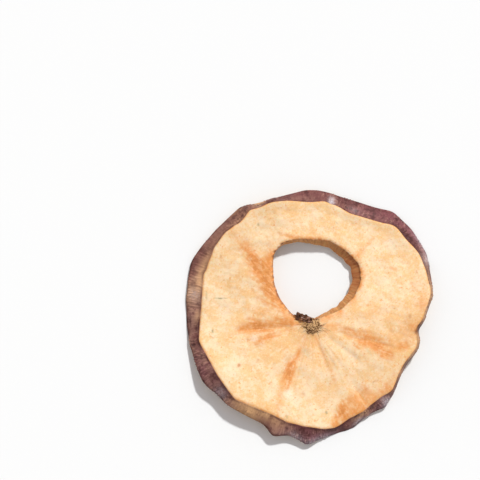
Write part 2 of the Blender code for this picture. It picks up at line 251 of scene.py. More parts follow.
# Browning round the hole's edge by heading from the hole's middle: strength, then width
HALO_STRENGTH = (
    (0, 0.72), (35, 0.70), (55, 0.45), (90, 0.45), (130, 0.50), (160, 0.75), (200, 0.85), (240, 0.80),
    (270, 0.55), (300, 0.45), (330, 0.62),
)
HALO_WIDTH = (
    (0, 1.3), (35, 1.1), (60, 0.6), (90, 0.4), (130, 0.6), (160, 1.6), (200, 2.1), (240, 1.5),
    (270, 0.9), (300, 0.6), (330, 0.9),
)
HALO_ROUNDING_DEG = 8.0
HALO_LIMIT = 0.95
HALO_POWER = 1.3

# Painted shade along the hole's edge, and the painted light and shade on its wall, by heading
EDGE_SHADE = (
    (0, 0.25), (40, 0.35), (70, 0.10), (110, 0.25), (135, 0.75), (165, 0.65), (190, 0.95), (235, 0.98),
    (260, 0.70), (290, 0.20), (330, 0.15),
)
# Painted light and shade on the hole's wall by heading: paler at the top and the lower right, darker on
# the right
WALL_LIT_SHARE = (
    (0, 0.10), (30, 0.15), (55, 0.55), (90, 0.80), (130, 0.80), (180, 0.30), (240, 0.25), (280, 0.65),
    (320, 0.60), (345, 0.25),
)

# Peel tints: heading, half width in degrees, share up the band, half share, strength
# Light streaks of the peel; those at the left, from about 160 to 185 degrees, are in part a painted
# highlight
PEEL_LIGHT_AND_HIGHLIGHTS = (
    (168, 5, 0.60, 0.80, 1.00), (161, 5, 0.80, 0.50, 0.85), (177, 6, 0.60, 0.60, 0.85),
    (184, 4, 0.60, 0.30, 0.60), (145, 12, 0.40, 0.90, 0.26), (128, 10, 0.90, 0.40, 0.30),
    (78.5, 2.5, 0.80, 0.40, 0.50), (68, 4, 0.75, 0.40, 0.25), (58, 4, 0.90, 0.25, 0.25),
    (95, 9, 0.85, 0.30, 0.30), (114, 3, 0.30, 0.60, 0.60), (192, 6, 0.15, 0.40, 0.60),
    (297, 6, 0.50, 0.80, 0.90), (203, 12, 0.60, 0.80, 0.30), (228, 5, 0.30, 0.80, 0.60),
    (26, 3, 0.40, 0.80, 0.50), (253, 7, 0.50, 0.80, 0.60), (218, 6, 0.20, 0.60, 0.35),
    (262, 5, 0.50, 0.40, 0.25), (299, 4, 0.95, 0.30, 0.70), (276, 4, 0.95, 0.30, 0.35),
    (205, 5, 0.90, 0.25, 0.50), (181, 4, 0.90, 0.30, 0.90), (169, 4, 0.95, 0.30, 0.90),
    (300, 5, 0.95, 0.40, 0.85), (293, 2.5, 0.95, 0.30, 0.60), (132, 10, 0.10, 0.40, 0.32),
    (243, 6, 0.05, 0.35, 0.45), (193, 5, 0.05, 0.35, 0.35),
)
PEEL_TAN = (
    (237, 7, 0.50, 1.60, 0.95), (246, 5, 0.95, 0.35, 0.75), (154, 7, 0.95, 0.28, 0.55),
    (142, 7, 0.85, 0.40, 0.12), (114, 2.6, 0.20, 0.60, 0.90), (107, 4, 0.45, 0.90, 0.06),
    (126, 8, 0.90, 0.35, 0.30), (162, 5, 0.92, 0.30, 0.65), (345, 26, 0.95, 0.45, 0.80),
    (10, 12, 0.95, 0.45, 0.75), (253, 6, 0.90, 0.40, 0.35), (124, 6, 0.15, 0.40, 0.30),
    (297, 5, 0.95, 0.28, 0.70), (230, 4, 0.90, 0.30, 0.40), (170, 6, 0.20, 0.40, 0.30),
    (168, 4, 0.75, 0.55, 0.45), (180, 4, 0.95, 0.25, 0.45),
)
# Lavender grey stretches of the peel; those at 36 to 58 degrees paint a bluish sheen on the outer edge at
# the upper right
PEEL_COOL = (
    (36, 10, 0.15, 0.50, 0.75), (58, 14, 0.75, 0.60, 0.12), (268, 11, 0.20, 0.55, 0.95),
    (278, 6, 0.35, 0.60, 0.80), (297, 7, 0.15, 0.60, 0.95), (306, 6, 0.12, 0.40, 0.50),
    (220, 5, 0.45, 0.80, 0.50), (205, 8, 0.60, 0.50, 0.35), (178, 8, 0.40, 0.50, 0.20),
    (259, 5, 0.20, 0.50, 0.50), (48, 6, 0.50, 0.50, 0.25), (210, 6, 0.40, 0.50, 0.30),
    (312, 3, 0.30, 0.70, 0.70),
)
PEEL_WINE = (
    (52, 20, 0.50, 1.30, 0.85), (206, 9, 0.45, 0.90, 0.70), (268, 13, 0.75, 0.60, 0.60),
    (298, 14, 0.75, 0.60, 0.75), (92, 12, 0.40, 0.80, 0.35), (128, 8, 0.40, 0.60, 0.35),
    (66, 4, 0.15, 0.30, 0.50), (228, 4, 0.70, 0.40, 0.30), (176, 8, 0.50, 0.60, 0.30),
    (120, 3, 0.50, 0.60, 0.30),
)
PEEL_CALM = (
    (158, 20, 0.50, 3.00, 0.80), (237, 10, 0.50, 3.00, 0.90), (252, 8, 0.30, 1.50, 0.60),
    (344, 30, 0.50, 3.00, 0.70), (135, 10, 0.50, 3.00, 0.50),
)
PEEL_BLOTCHES = (
    (39, 8, 0.92, 0.30, 0.95), (68, 4, 0.05, 0.35, 0.90), (73, 5, 0.30, 0.50, 0.60),
    (190, 6, 0.90, 0.30, 0.45), (49, 3, 0.30, 0.50, 0.50), (59, 3, 0.15, 0.30, 0.35),
    (212, 6, 0.50, 0.60, 0.25), (222, 5, 0.92, 0.28, 0.30), (283, 10, 0.88, 0.30, 0.70),
    (287, 4, 0.20, 0.40, 0.50), (273, 8, 0.97, 0.18, 0.50), (293, 2.0, 0.60, 0.35, 0.70),
    (306, 5, 0.75, 0.40, 0.45), (129, 5, 0.30, 0.30, 0.35), (156, 3, 0.10, 0.25, 0.35),
    (265, 5, 0.75, 0.35, 0.45), (120, 1.6, 0.50, 0.60, 0.45), (174, 1.2, 0.70, 0.60, 0.45),
    (165.2, 0.8, 0.60, 0.70, 0.40), (104, 6, 0.40, 0.80, 0.40), (84, 4, 0.40, 0.60, 0.25),
    (127, 9, 0.60, 0.30, 0.28), (145, 11, 0.60, 0.35, 0.25), (288, 4, 0.40, 0.50, 0.70),
    (248, 5, 0.65, 0.25, 0.15), (353.0, 3.0, 0.80, 0.90, 0.95), (200, 3, 0.70, 0.40, 0.35),
    (247, 3, 0.15, 0.25, 0.30),
)
# Painted highlights on the peel, as pale bluish spots; the pale nick at 79 degrees is among them
PEEL_PAINTED_HIGHLIGHTS = (
    (79, 1.5, 0.85, 0.35, 0.95), (221, 3, 0.40, 0.50, 0.35), (312, 2.6, 0.20, 0.70, 0.85),
    (271, 3, 0.05, 0.25, 0.60), (26, 3, 0.30, 0.80, 0.50), (295, 3, 0.20, 0.35, 0.70),
    (263, 3, 0.20, 0.30, 0.50), (67, 3, 0.80, 0.20, 0.15), (34, 4, 0.10, 0.30, 0.30),
    (169, 3, 0.60, 0.40, 0.30), (277, 4, 0.15, 0.35, 0.45),
)

# The stored value that each list of tints is painted into
PEEL_TINTS = {
    "tan": PEEL_TAN,
    "light": PEEL_LIGHT_AND_HIGHLIGHTS,
    "calm": PEEL_CALM,
    "blotches": PEEL_BLOTCHES,
    "painted_highlight": PEEL_PAINTED_HIGHLIGHTS,
    "cool": PEEL_COOL,
    "wine": PEEL_WINE,
}

# Painted shade along the peel's cut edge where its lip meets the flesh, by heading
LIP_SHADE = (
    (0, 0.30), (25, 0.40), (40, 0.55), (60, 0.10), (100, 0.15), (150, 0.20), (160, 0.70), (168, 0.45),
    (180, 0.60), (190, 0.85), (205, 0.30), (215, 0.60), (236, 0.15), (255, 0.55), (285, 0.75),
    (298, 0.20), (306, 0.60), (325, 0.35),
)
LIP_SHADE_WIDTH = 0.26

# How the lines' strengths are rounded, and how wide and how far down the wall the painted shade line runs
LINE_ROUNDING_DEG = 6.0
EDGE_SHADE_NARROW = 0.14
EDGE_SHADE_WIDENING = 0.36
EDGE_SHADE_STATIONS = 5

# Stations over which the wall's colour fades in at its top and out at its foot
WALL_FADE_TOP = 2.5
WALL_FADE_FOOT = 2.0

# Browning that both faces get and what the upper one gets besides, warmth by the hole, and
# how far the core's fibres show
LOWER_BROWNING = 0.45
UPPER_BROWNING = 0.55
HOLE_WARMTH = 0.25
HOLE_WARMTH_REACH = 2.5
CORE_REACH = 9.0

# Unevenness that closes round the ring: share, waves round it, slant across it, seed
HOLE_TOP_WAVES = ((0.6, 38, 0.0, 11), (0.3, 110, 0.0, 12))
HOLE_LOW_WAVES = ((0.8, 16, 0.0, 13), (0.3, 70, 0.0, 14))
WALL_WAVES = ((1.0, 70, 1.2, 15), (0.8, 24, 2.5, 16))
FIBRE_WAVES = ((1.0, 46, 0.25, 21),)
HALO_WAVES = ((0.25, 14, 0.0, 31),)
EDGE_SHADE_WAVES = ((0.5, 40, 0.0, 32),)
LIP_WAVES = ((0.5, 34, 0.0, 44),)
PEEL_PATCH_WAVES = ((0.45, 9, 1.0, 45),)
LIP_SHADE_WAVES = ((0.3, 30, 0.0, 46),)
FLAKE_WAVES = ((0.10, 5, 0.0, 51), (0.05, 13, 0.0, 52))

# The peel's wrinkles and swells: share, waves for each wrinkle's spacing, slant, seed
WRINKLE_WAVES = ((1.0, 0.45, 3.5, 41), (0.50, 1.0, 7.0, 42))
WRINKLES_A_SWELL = 7.0
SWELL_SLANT = 2.0
SWELL_SEED = 43

# Bumps in plan: share, wavelength in millimetres, seed
FLESH_BUMPS = ((1.0, 11.0, 22), (0.55, 4.0, 23), (0.28, 1.5, 24))
FLAKE_BUMPS = ((0.17, 1.4, 53), (0.08, 0.6, 54))

# How far single waves stray from their wavelength or their count round the ring
LENGTH_RANGE = (0.7, 1.5)
COUNT_RANGE = (0.6, 1.5)

# Fibres of the flesh, and the unevenness of the hole's edges and wall
FIBRE_FADE = 12.0
FIBRE_SHARE = 0.5
HOLE_TOP_FRAY = 0.4
HOLE_LOW_FRAY = 0.6
WALL_GROOVE = 0.035
WALL_BULGE = 0.15

# Relief of the peel
PATCH_MIDDLE = 0.70
PATCH_LIMITS = (0.15, 1.2)
CALM_SHARE = 0.8
RIDGE_SHARE = 0.75
RIDGE_MIDDLE = 0.8
RIDGE_CREST = 1.6
SWELL_SHARE = 0.35
LIP_FADE = 0.25
RIDGE_AT_LIP = 0.35
RIDGE_OFF_LIP = 0.65
LIFT_LIMIT = 0.16
LIP_LIMITS = (0.03, 0.2)
LOWER_LIP = -0.12
LIP_POWER = 0.6

# Scales of the textures that follow the fibres, the hole's wall and the peel's band
FIBRE_RADIUS = 17.0
FIBRE_STRETCH = 0.16
WALL_RADIUS = 20.0
WALL_STRETCH = 0.5
BAND_STRETCH = 2.4

# Meshes: rows round the ring and stations of each side of the section
FLESH_ROWS = 700
FLESH_SKIN_STATIONS = 10
FLESH_SKIN_END = 0.97
FLESH_UPPER_STATIONS = 88
FLESH_WALL_STATIONS = 16
FLESH_LOWER_STATIONS = 28
FLESH_TUCK = 0.2
FLESH_DEPTH = 0.75
PEEL_ROWS = 1400
PEEL_OUTER_STATIONS = 36
PEEL_INNER_STATIONS = 5
LIP_STATIONS = 4
PEEL_SHARE_START = -0.03
PEEL_SHARE_END = 1.02
LIP_SHARE = 1.05
FRAME_STATIONS = 12
FINE_STEPS = 1440
EDGE_STEPS = 60
GRID_SIZE = 60 * MM
SEAM_WIDTH = 0.0005 * MM

# Light and floor
SKY_COLOUR = (1.0, 0.965, 0.975, 1.0)
SKY_STRENGTH = 0.53
SUN_COLOUR = (0.975, 1.0, 0.99)
SUN_STRENGTH = 2.95
SUN_WIDTH_DEG = 5.0
SUN_HEADING_DEG = 60.0
SUN_ELEVATION_DEG = 47.0
FLOOR_SIZE = 3.0

# The photograph's frame: millimetres a pixel on the slice, and the slice's origin in pixels
PIXEL_MM = 0.26
FRAME_PIXELS = 480
ORIGIN_PIXEL = (309.0, 317.2)
CAMERA_DISTANCE = 0.6
CAMERA_ELEVATION_DEG = 83.0
SENSOR_MM = 36.0
CLIP_START = 0.01

# Places of a colour mix node's share and two colours among its inputs, and of its result
MIX_INPUTS = (0, 6, 7)
MIX_RESULT = 2

# Range of the blotches' raw value over which the roughness changes
ROUGHNESS_FROM = (0.35, 0.65)


def colour_property(name, description, default):
    """A colour that a user may change."""
    return bpy.props.FloatVectorProperty(
        name=name, description=description, subtype="COLOR", size=4, min=0.0, max=1.0, default=default
    )


def length_property(name, description, default_mm):
    """A length that a user may change, given in millimetres and kept in metres."""
    return bpy.props.FloatProperty(
        name=name, description=description, unit="LENGTH", min=0.0, default=default_mm * MM, precision=5
    )


class AppleRingSizes(bpy.types.PropertyGroup):
    """Sizes of the ring and of its relief."""

    skin_thickness: length_property("Thickness at the skin", "Height of the slice at its rim", 3.2)
    flesh_thickness: length_property("Flesh thickness", "Thickness of the sunken flesh", 2.9)
    hole_thickness: length_property("Thickness at the hole", "Height of the hole's wall", 3.0)
    peel_thickness: length_property("Peel thickness", "Thickness of the dried peel", 0.42)
    peel_lip: length_property("Peel lip", "How far the cut peel stands up over the flesh", 0.10)
    wrinkle_depth: length_property("Wrinkle depth", "Depth of the peel's cross wrinkles", 0.20)
    wrinkle_spacing: length_property("Wrinkle spacing", "Distance between the peel's wrinkles", 0.95)
    flesh_relief: length_property("Flesh relief", "Height of the soft bumps in the flesh", 0.07)
    fray: length_property("Frayed edge", "Unevenness of the hole's cut edge", 0.10)
    grain: length_property("Core grain", "Size of the core remnant's grains", 0.17)


class AppleRingColours(bpy.types.PropertyGroup):
    """Colours of the ring and its floor."""

    flesh: colour_property("Flesh", "Dry cream flesh", (0.825, 0.535, 0.265, 1.0))
    # Pale flesh, also the colour of the painted light in the pale areas
    flesh_pale_and_lit: colour_property("Pale flesh", "Chalky dry patches", (0.860, 0.665, 0.440, 1.0))
    # White dry spots, also the colour of a painted highlight
    flesh_chalk_and_highlight: colour_property("Chalky flesh", "White dry spots", (0.900, 0.780, 0.650, 1.0))
    flesh_warm: colour_property("Warm flesh", "Lightly browned flesh", (0.800, 0.440, 0.170, 1.0))
    browned: colour_property("Browned", "Browned streaks", (0.740, 0.295, 0.080, 1.0))
    browned_deep: colour_property("Deep brown", "The darkest streaks", (0.500, 0.160, 0.035, 1.0))
    mark_green: colour_property("Green mark", "Grey green specks", (0.260, 0.200, 0.085, 1.0))
    # Colour of the painted shade along the hole's edge
    hole_edge_shade: colour_property("Edge line", "Dark line on the hole's edge", (0.200, 0.070, 0.030, 1.0))
    wall: colour_property("Hole wall", "Browned wall of the core hole", (0.380, 0.125, 0.040, 1.0))
    # Paler fibres of the wall, also the colour of its painted light
    wall_pale_and_lit: colour_property("Light wall", "Paler fibres of the wall", (0.640, 0.330, 0.120, 1.0))
    peel: colour_property("Peel", "Purple brown peel", (0.205, 0.073, 0.060, 1.0))
    # Dark peel blotches, also the colour of the painted shade in the furrows and along the cut edge
    peel_dark_and_shade: colour_property("Dark peel", "The peel's dark blotches", (0.070, 0.020, 0.018, 1.0))
    peel_wine: colour_property("Wine peel", "Wine red stretches", (0.240, 0.070, 0.082, 1.0))
    # Lavender grey peel, also the colour of a painted bluish sheen at the upper right
    peel_cool: colour_property("Cool peel", "Lavender grey stretches", (0.240, 0.150, 0.180, 1.0))
    # Light pinkish peel, also the colour of the painted highlights on the crests and of the painted
    # glints
    peel_light_and_highlight: colour_property("Light peel", "Worn pinkish streaks", (0.500, 0.275, 0.195, 1.0))
    peel_tan: colour_property("Tan peel", "Thin skin over the flesh", (0.850, 0.490, 0.235, 1.0))
    # Colour of the painted highlights on the peel
    peel_painted_highlight: colour_property("Peel bloom", "Pale bluish spots", (0.600, 0.530, 0.560, 1.0))
    core: colour_property("Core remnant", "Tan grains of the core", (0.700, 0.430, 0.205, 1.0))
    # Dark grains, and the colour of the painted shade in the gaps among and under them
    core_dark_and_shade: colour_property("Dark core", "Dark grains and gaps", (0.125, 0.050, 0.015, 1.0))
    flake: colour_property("Core flake", "Mauve brown skin of the torn flake", (0.215, 0.082, 0.036, 1.0))
    # Dark flake, also the colour of the painted shade in its folds
    flake_dark_and_shade: colour_property("Dark flake", "Folds of the torn flake", (0.060, 0.022, 0.008, 1.0))
    # Colour of the painted sheen on the flake's creases
    flake_sheen: colour_property("Light flake", "Sheen of its creases", (0.480, 0.280, 0.230, 1.0))
    floor: colour_property("Floor", "White floor", (0.820, 0.820, 0.820, 1.0))


def smooth_step(value):
    """Ease from 0 to 1."""
    share = np.clip(value, 0.0, 1.0)
    return share * share * (3.0 - 2.0 * share)


def eased_steps(count):
    """Shares from 0 to 1 that lie closer together at both ends."""
    return 0.5 - 0.5 * np.cos(np.pi * np.linspace(0.0, 1.0, count))


def round_off(values, width_deg):
    """Smooth a closed row of values over a width given in degrees."""
    steps = len(values)
    offsets = np.minimum(np.arange(steps), steps - np.arange(steps)) * 360.0 / steps
    weights = np.exp(-0.5 * (offsets / width_deg) ** 2)
    weights /= weights.sum()
    return np.real(np.fft.ifft(np.fft.fft(values) * np.fft.fft(weights)))


def at_heading(values, heading):
    """Read a closed row of values at headings in radians."""
    even = np.linspace(0.0, 2.0 * np.pi, len(values), endpoint=False)
    return np.interp(heading, even, values, period=2.0 * np.pi)


def outline_reach(corners, centre, rounding_deg, heading):
    """Distance from a centre to a closed outline with rounded corners, at headings in radians."""
    points = np.array(corners) - np.array(centre)
    share = np.linspace(0.0, 1.0, EDGE_STEPS, endpoint=False)[:, None]
    sides = [a + (b - a) * share for a, b in zip(points, np.roll(points, -1, axis=0))]
    walk = np.concatenate(sides)
    headings = np.arctan2(walk[:, 1], walk[:, 0])
    reaches = np.hypot(walk[:, 0], walk[:, 1])
    order = np.argsort(headings)
    even = np.linspace(0.0, 2.0 * np.pi, FINE_STEPS, endpoint=False)
    reach = np.interp(even, headings[order], reaches[order], period=2.0 * np.pi)
    return at_heading(round_off(reach, rounding_deg), heading)


def stops_round(stops, rounding_deg, heading):
    """A value round the ring at headings in radians, from stops of (heading in degrees, value)."""
    headings, values = np.array(stops, dtype=float).T
    even = np.linspace(0.0, 360.0, FINE_STEPS, endpoint=False)
    rounded = round_off(np.interp(even, headings, values, period=360.0), rounding_deg)
    return at_heading(rounded, heading)


def towards(heading):
    """Unit vectors in plan at headings in radians."""
    return np.stack([np.cos(heading), np.sin(heading)], axis=-1)


def between(start, end, share):
    """Points between two rows of points, at shares of the way."""
    return start[:, None, :] + (end - start)[:, None, :] * share[None, :, None]


def with_height(plan, height):
    """Points in plan with their heights added."""
    return np.concatenate([plan, height[..., None]], axis=-1)


def from_tuft(plan):
    """Heading and distance of points in plan from the core remnant."""
    offset = plan - np.array(TUFT_CENTRE)
    return np.arctan2(offset[..., 1], offset[..., 0]), np.hypot(offset[..., 0], offset[..., 1])


def rolled(angle, radius, across):
    """Texture coordinates that close round the ring: a circle, and a distance across it."""
    return np.stack([radius * np.cos(angle), radius * np.sin(angle), across], axis=-1)


def lower_height(plan):
    """Height of the lower face: three feet on the rim, lifted between them and at the hole."""
    heading = np.arctan2(plan[..., 1], plan[..., 0])
    reach = np.hypot(plan[..., 0], plan[..., 1]) / RIM_RADIUS
    between_feet = 0.5 - 0.5 * np.cos(FEET * (heading - np.radians(FOOT_HEADING_DEG)))
    lift = stops_round(RIM_LIFT, LIFT_ROUNDING_DEG, heading)
    outer = smooth_step((reach - DISH_START) / DISH_WIDTH)
    buckle = sum(
        height * np.cos(waves * heading - np.radians(crest)) for waves, height, crest in BUCKLES
    )
    rim = (lift + FOOT_SINK) * between_feet + buckle * reach ** BUCKLE_POWER - FOOT_SINK
    return INNER_LIFT * (1.0 - outer) ** DISH_POWER + rim * outer


def crease_depth(plan, half_width, share=1.0):
    """Depth of the creases that run out from the core remnant."""
    offset = plan - np.array(TUFT_CENTRE)
    depth = np.zeros(plan.shape[:-1])
    for heading_deg, start, end, deepest in CREASES:
        along_axis = towards(np.radians(heading_deg))
        along = offset @ along_axis
        across = offset @ np.array([-along_axis[1], along_axis[0]])
        ends = smooth_step((along - start) / CREASE_START_LENGTH)
        ends = ends * smooth_step((end - along) / CREASE_END_LENGTH)
        depth += share * deepest * ends * np.exp(-((across / half_width) ** 2))
    return depth


def mound(plan, centre, radius, height):
    """Height of a round mound in the upper face."""
    distance = np.hypot(plan[..., 0] - centre[0], plan[..., 1] - centre[1])
    return height * np.exp(-((distance / radius) ** 2))


def soft_noise(plan, wavelength, seed, waves=28):
    """A smooth random height of about unit size over points in plan, from crossing waves."""
    draw = np.random.default_rng(seed)
    total = np.zeros(plan.shape[:-1])
    for _ in range(waves):
        heading = draw.uniform(0.0, 2.0 * np.pi)
        length = wavelength * draw.uniform(*LENGTH_RANGE)
        phase = draw.uniform(0.0, 2.0 * np.pi)
        total += np.cos(2.0 * np.pi * (plan @ towards(heading)) / length + phase)
    return total / math.sqrt(waves / 2.0)


def round_noise(heading, across, turns, slant, seed, waves=24):
    """A random height that closes round the ring: crossing waves with whole numbers of turns."""
    draw = np.random.default_rng(seed)
    total = np.zeros(np.broadcast(heading, across).shape)
    for _ in range(waves):
        count = round(turns * draw.uniform(*COUNT_RANGE))
        lean = slant * draw.normal()
        phase = draw.uniform(0.0, 2.0 * np.pi)
        total += np.cos(count * heading + lean * across + phase)
    return total / math.sqrt(waves / 2.0)


def bumpy(plan, terms):
    """Sum of smooth bumps in plan: share, wavelength, seed."""
    return sum(share * soft_noise(plan, length, seed) for share, length, seed in terms)


def uneven(heading, across, terms, middle=0.0):
    """Unevenness about a middle that closes round the ring: share, waves round it, slant, seed."""
    waves = (
        share * round_noise(heading, across, turns, slant, seed) for share, turns, slant, seed in terms
    )
    return sum(waves, middle)


def capsule_mask(plan, marks, wider=1.0):
    """Soft union of short strokes, each from a point to a point with a half width and a strength."""
    clear = np.ones(plan.shape[:-1])
    for x0, y0, x1, y1, half_width, strength in marks:
        start = np.array([x0, y0])
        run = np.array([x1, y1]) - start
        along = np.clip(((plan - start) @ run) / (run @ run), 0.0, 1.0)
        distance = np.linalg.norm(plan - start - along[..., None] * run, axis=-1)
        clear *= 1.0 - strength * np.exp(-((distance / (half_width * wider)) ** 2))
    return 1.0 - clear


def area_mask(plan, areas):
    """Soft union of round areas, each with a centre, a radius and a strength."""
    clear = np.ones(plan.shape[:-1])
    for x, y, radius, strength in areas:
        clear *= 1.0 - mound(plan, (x, y), radius, strength)
    return 1.0 - clear


def band_mask(heading, share, tints):
    """Soft union of patches on the peel, placed by heading and by share of the band's width."""
    clear = np.ones(np.broadcast(heading, share).shape)
    for heading_deg, half_deg, middle, half_share, strength in tints:
        turn = np.abs((np.degrees(heading) - heading_deg + 180.0) % 360.0 - 180.0) / half_deg
        up = (share - middle) / half_share
        clear *= 1.0 - strength * np.exp(-(turn ** 2) - up ** 2)
    return 1.0 - clear


def upper_thickness(share, sizes):
    """Thickness across the upper face, from the skin (0) to the hole's edge (1), in millimetres."""
    flesh = sizes.flesh_thickness / MM
    from_skin = 1.0 - smooth_step(share / RIM_RISE_WIDTH)
    from_hole = smooth_step((share - HOLE_RISE_START) / HOLE_RISE_WIDTH)
    thickness = flesh + (sizes.skin_thickness / MM - flesh) * from_skin
    thickness = thickness + (sizes.hole_thickness / MM - flesh) * from_hole
    rounded = SKIN_ROUNDING_SHARE * np.exp(-share / SKIN_ROUNDING_REACH)
    rounded = rounded + np.exp(-(1.0 - share) / HOLE_ROUNDING_REACH)
    return thickness - EDGE_ROUNDING * rounded


def ring_edges(heading):
    """Edges of the slice in plan at the given headings."""
    out = towards(heading)
    rim_reach = outline_reach(RIM_CORNERS, SLICE_CENTRE, RIM_ROUNDING_DEG, heading)
    hole_reach = outline_reach(HOLE_CORNERS, HOLE_CENTRE, HOLE_ROUNDING_DEG, heading)
    flesh_reach = outline_reach(FLESH_CORNERS, SLICE_CENTRE, FLESH_ROUNDING_DEG, heading)
    width = np.maximum(rim_reach - SKIN_BULGE - flesh_reach, NARROWEST_SKIN)[:, None]
    inset = stops_round(WALL_INSET, WALL_ROUNDING_DEG, heading)
    rim = np.array(SLICE_CENTRE) + out * (rim_reach[:, None] - SKIN_BULGE)
    return {
        "out": out,
        "width": width,
        "rim": rim,
        "skin_top": rim - out * width,
        "hole_top": np.array(HOLE_CENTRE) + out * hole_reach[:, None],
        "hole_low": np.array(HOLE_CENTRE) + out * (hole_reach - inset)[:, None],
        "rim_low": rim - out * LOWER_EDGE_TUCK,
    }


def skin_surface(heading, share, sizes):
    """Points of the skin band, by heading and by share from its lower edge up to the flesh."""
    edges = ring_edges(heading)
    rim, out, width = edges["rim"], edges["out"], edges["width"]
    low = lower_height(rim)[:, None] + EDGE_ROUNDING
    top = (lower_height(edges["skin_top"]) + upper_thickness(np.zeros(len(heading)), sizes))[:, None]
    climb = np.clip(share, 0.0, None)
    bulge = SKIN_BULGE * np.cos((share - SKIN_BULGE_MIDDLE) * np.pi / SKIN_BULGE_SPAN)
    inward = width * climb ** SKIN_INWARD_POWER - bulge
    plan = rim[:, None, :] - out[:, None, :] * inward[..., None]
    return with_height(plan, low + (top - low) * climb ** SKIN_CLIMB_POWER)


def surface_directions(surface):
    """Unit vectors out of a grid of surface points and up along its columns."""
    along = np.roll(surface, -1, axis=0) - np.roll(surface, 1, axis=0)
    up = np.gradient(surface, axis=1)
    normal = np.cross(along, up)
    normal /= np.linalg.norm(normal, axis=-1)[..., None]
    return normal, up / np.linalg.norm(up, axis=-1)[..., None]


def frame_shift(sizes):
    """Shift that puts the middle of the slice's box over the middle of the CAD box."""
    heading = np.linspace(0.0, 2.0 * np.pi, FLESH_ROWS, endpoint=False)
    share = np.tile(np.linspace(0.0, 1.0, FRAME_STATIONS), (FLESH_ROWS, 1))
    skin = skin_surface(heading, share, sizes).reshape(-1, 3)
    middle = (skin.min(axis=0) + skin.max(axis=0)) / 2.0
    target = np.array((CAD_LOW + CAD_HIGH) / 2.0) / MM
    return np.array([target[0] - middle[0], target[1] - middle[1], 0.0])


def closed(values):
    """Repeat the first row and the first station of a grid of values at its end."""
    values = np.concatenate([values, values[:1]], axis=0)
    return np.concatenate([values, values[:, :1]], axis=1)


def store(mesh, label, values, kind="FLOAT", key="value"):
    """Store a value for each point of a mesh."""
    layer = mesh.attributes.new(label, kind, "POINT")
    layer.data.foreach_set(key, np.asarray(values, dtype=np.float32).ravel())


def read_points(mesh):
    """Places of a mesh's points."""
    points = np.empty(len(mesh.vertices) * 3, dtype=np.float32)
    mesh.vertices.foreach_get("co", points)
    return points.reshape(-1, 3)


def write_points(mesh, points):
    """Move a mesh's points to their places."""
    mesh.vertices.foreach_set("co", np.asarray(points, dtype=np.float32).ravel())


def new_ring(name, points, values, vectors):
    """A closed ring: a grid laid over the sections' points, with its two seams merged."""
    rows, stations = points.shape[:2]
    bpy.ops.object.select_all(action="DESELECT")
    bpy.ops.mesh.primitive_grid_add(x_subdivisions=rows, y_subdivisions=stations, size=GRID_SIZE)
    piece = bpy.context.object
    piece.name = name
    piece.data.name = name
    write_points(piece.data, closed(points * MM).swapaxes(0, 1))
    for label, grid in values.items():
        full = closed(np.broadcast_to(grid, (rows, stations)))
        store(piece.data, label, full.swapaxes(0, 1))
    for label, grid in vectors.items():
        store(piece.data, label, closed(grid).swapaxes(0, 1), "FLOAT_VECTOR", "vector")
    piece.data.update()
    bpy.ops.object.mode_set(mode="EDIT")
    bpy.ops.mesh.select_all(action="SELECT")
    bpy.ops.mesh.remove_doubles(threshold=SEAM_WIDTH)
    bpy.ops.object.mode_set(mode="OBJECT")
    bpy.ops.object.shade_smooth()
    return piece


def finish_piece(piece, material):
    """Give the piece its material and its place in the frame."""
    piece.data.materials.clear()
    piece.data.materials.append(material)
    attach(piece, "root")
    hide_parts(NODE)


# Shader helpers


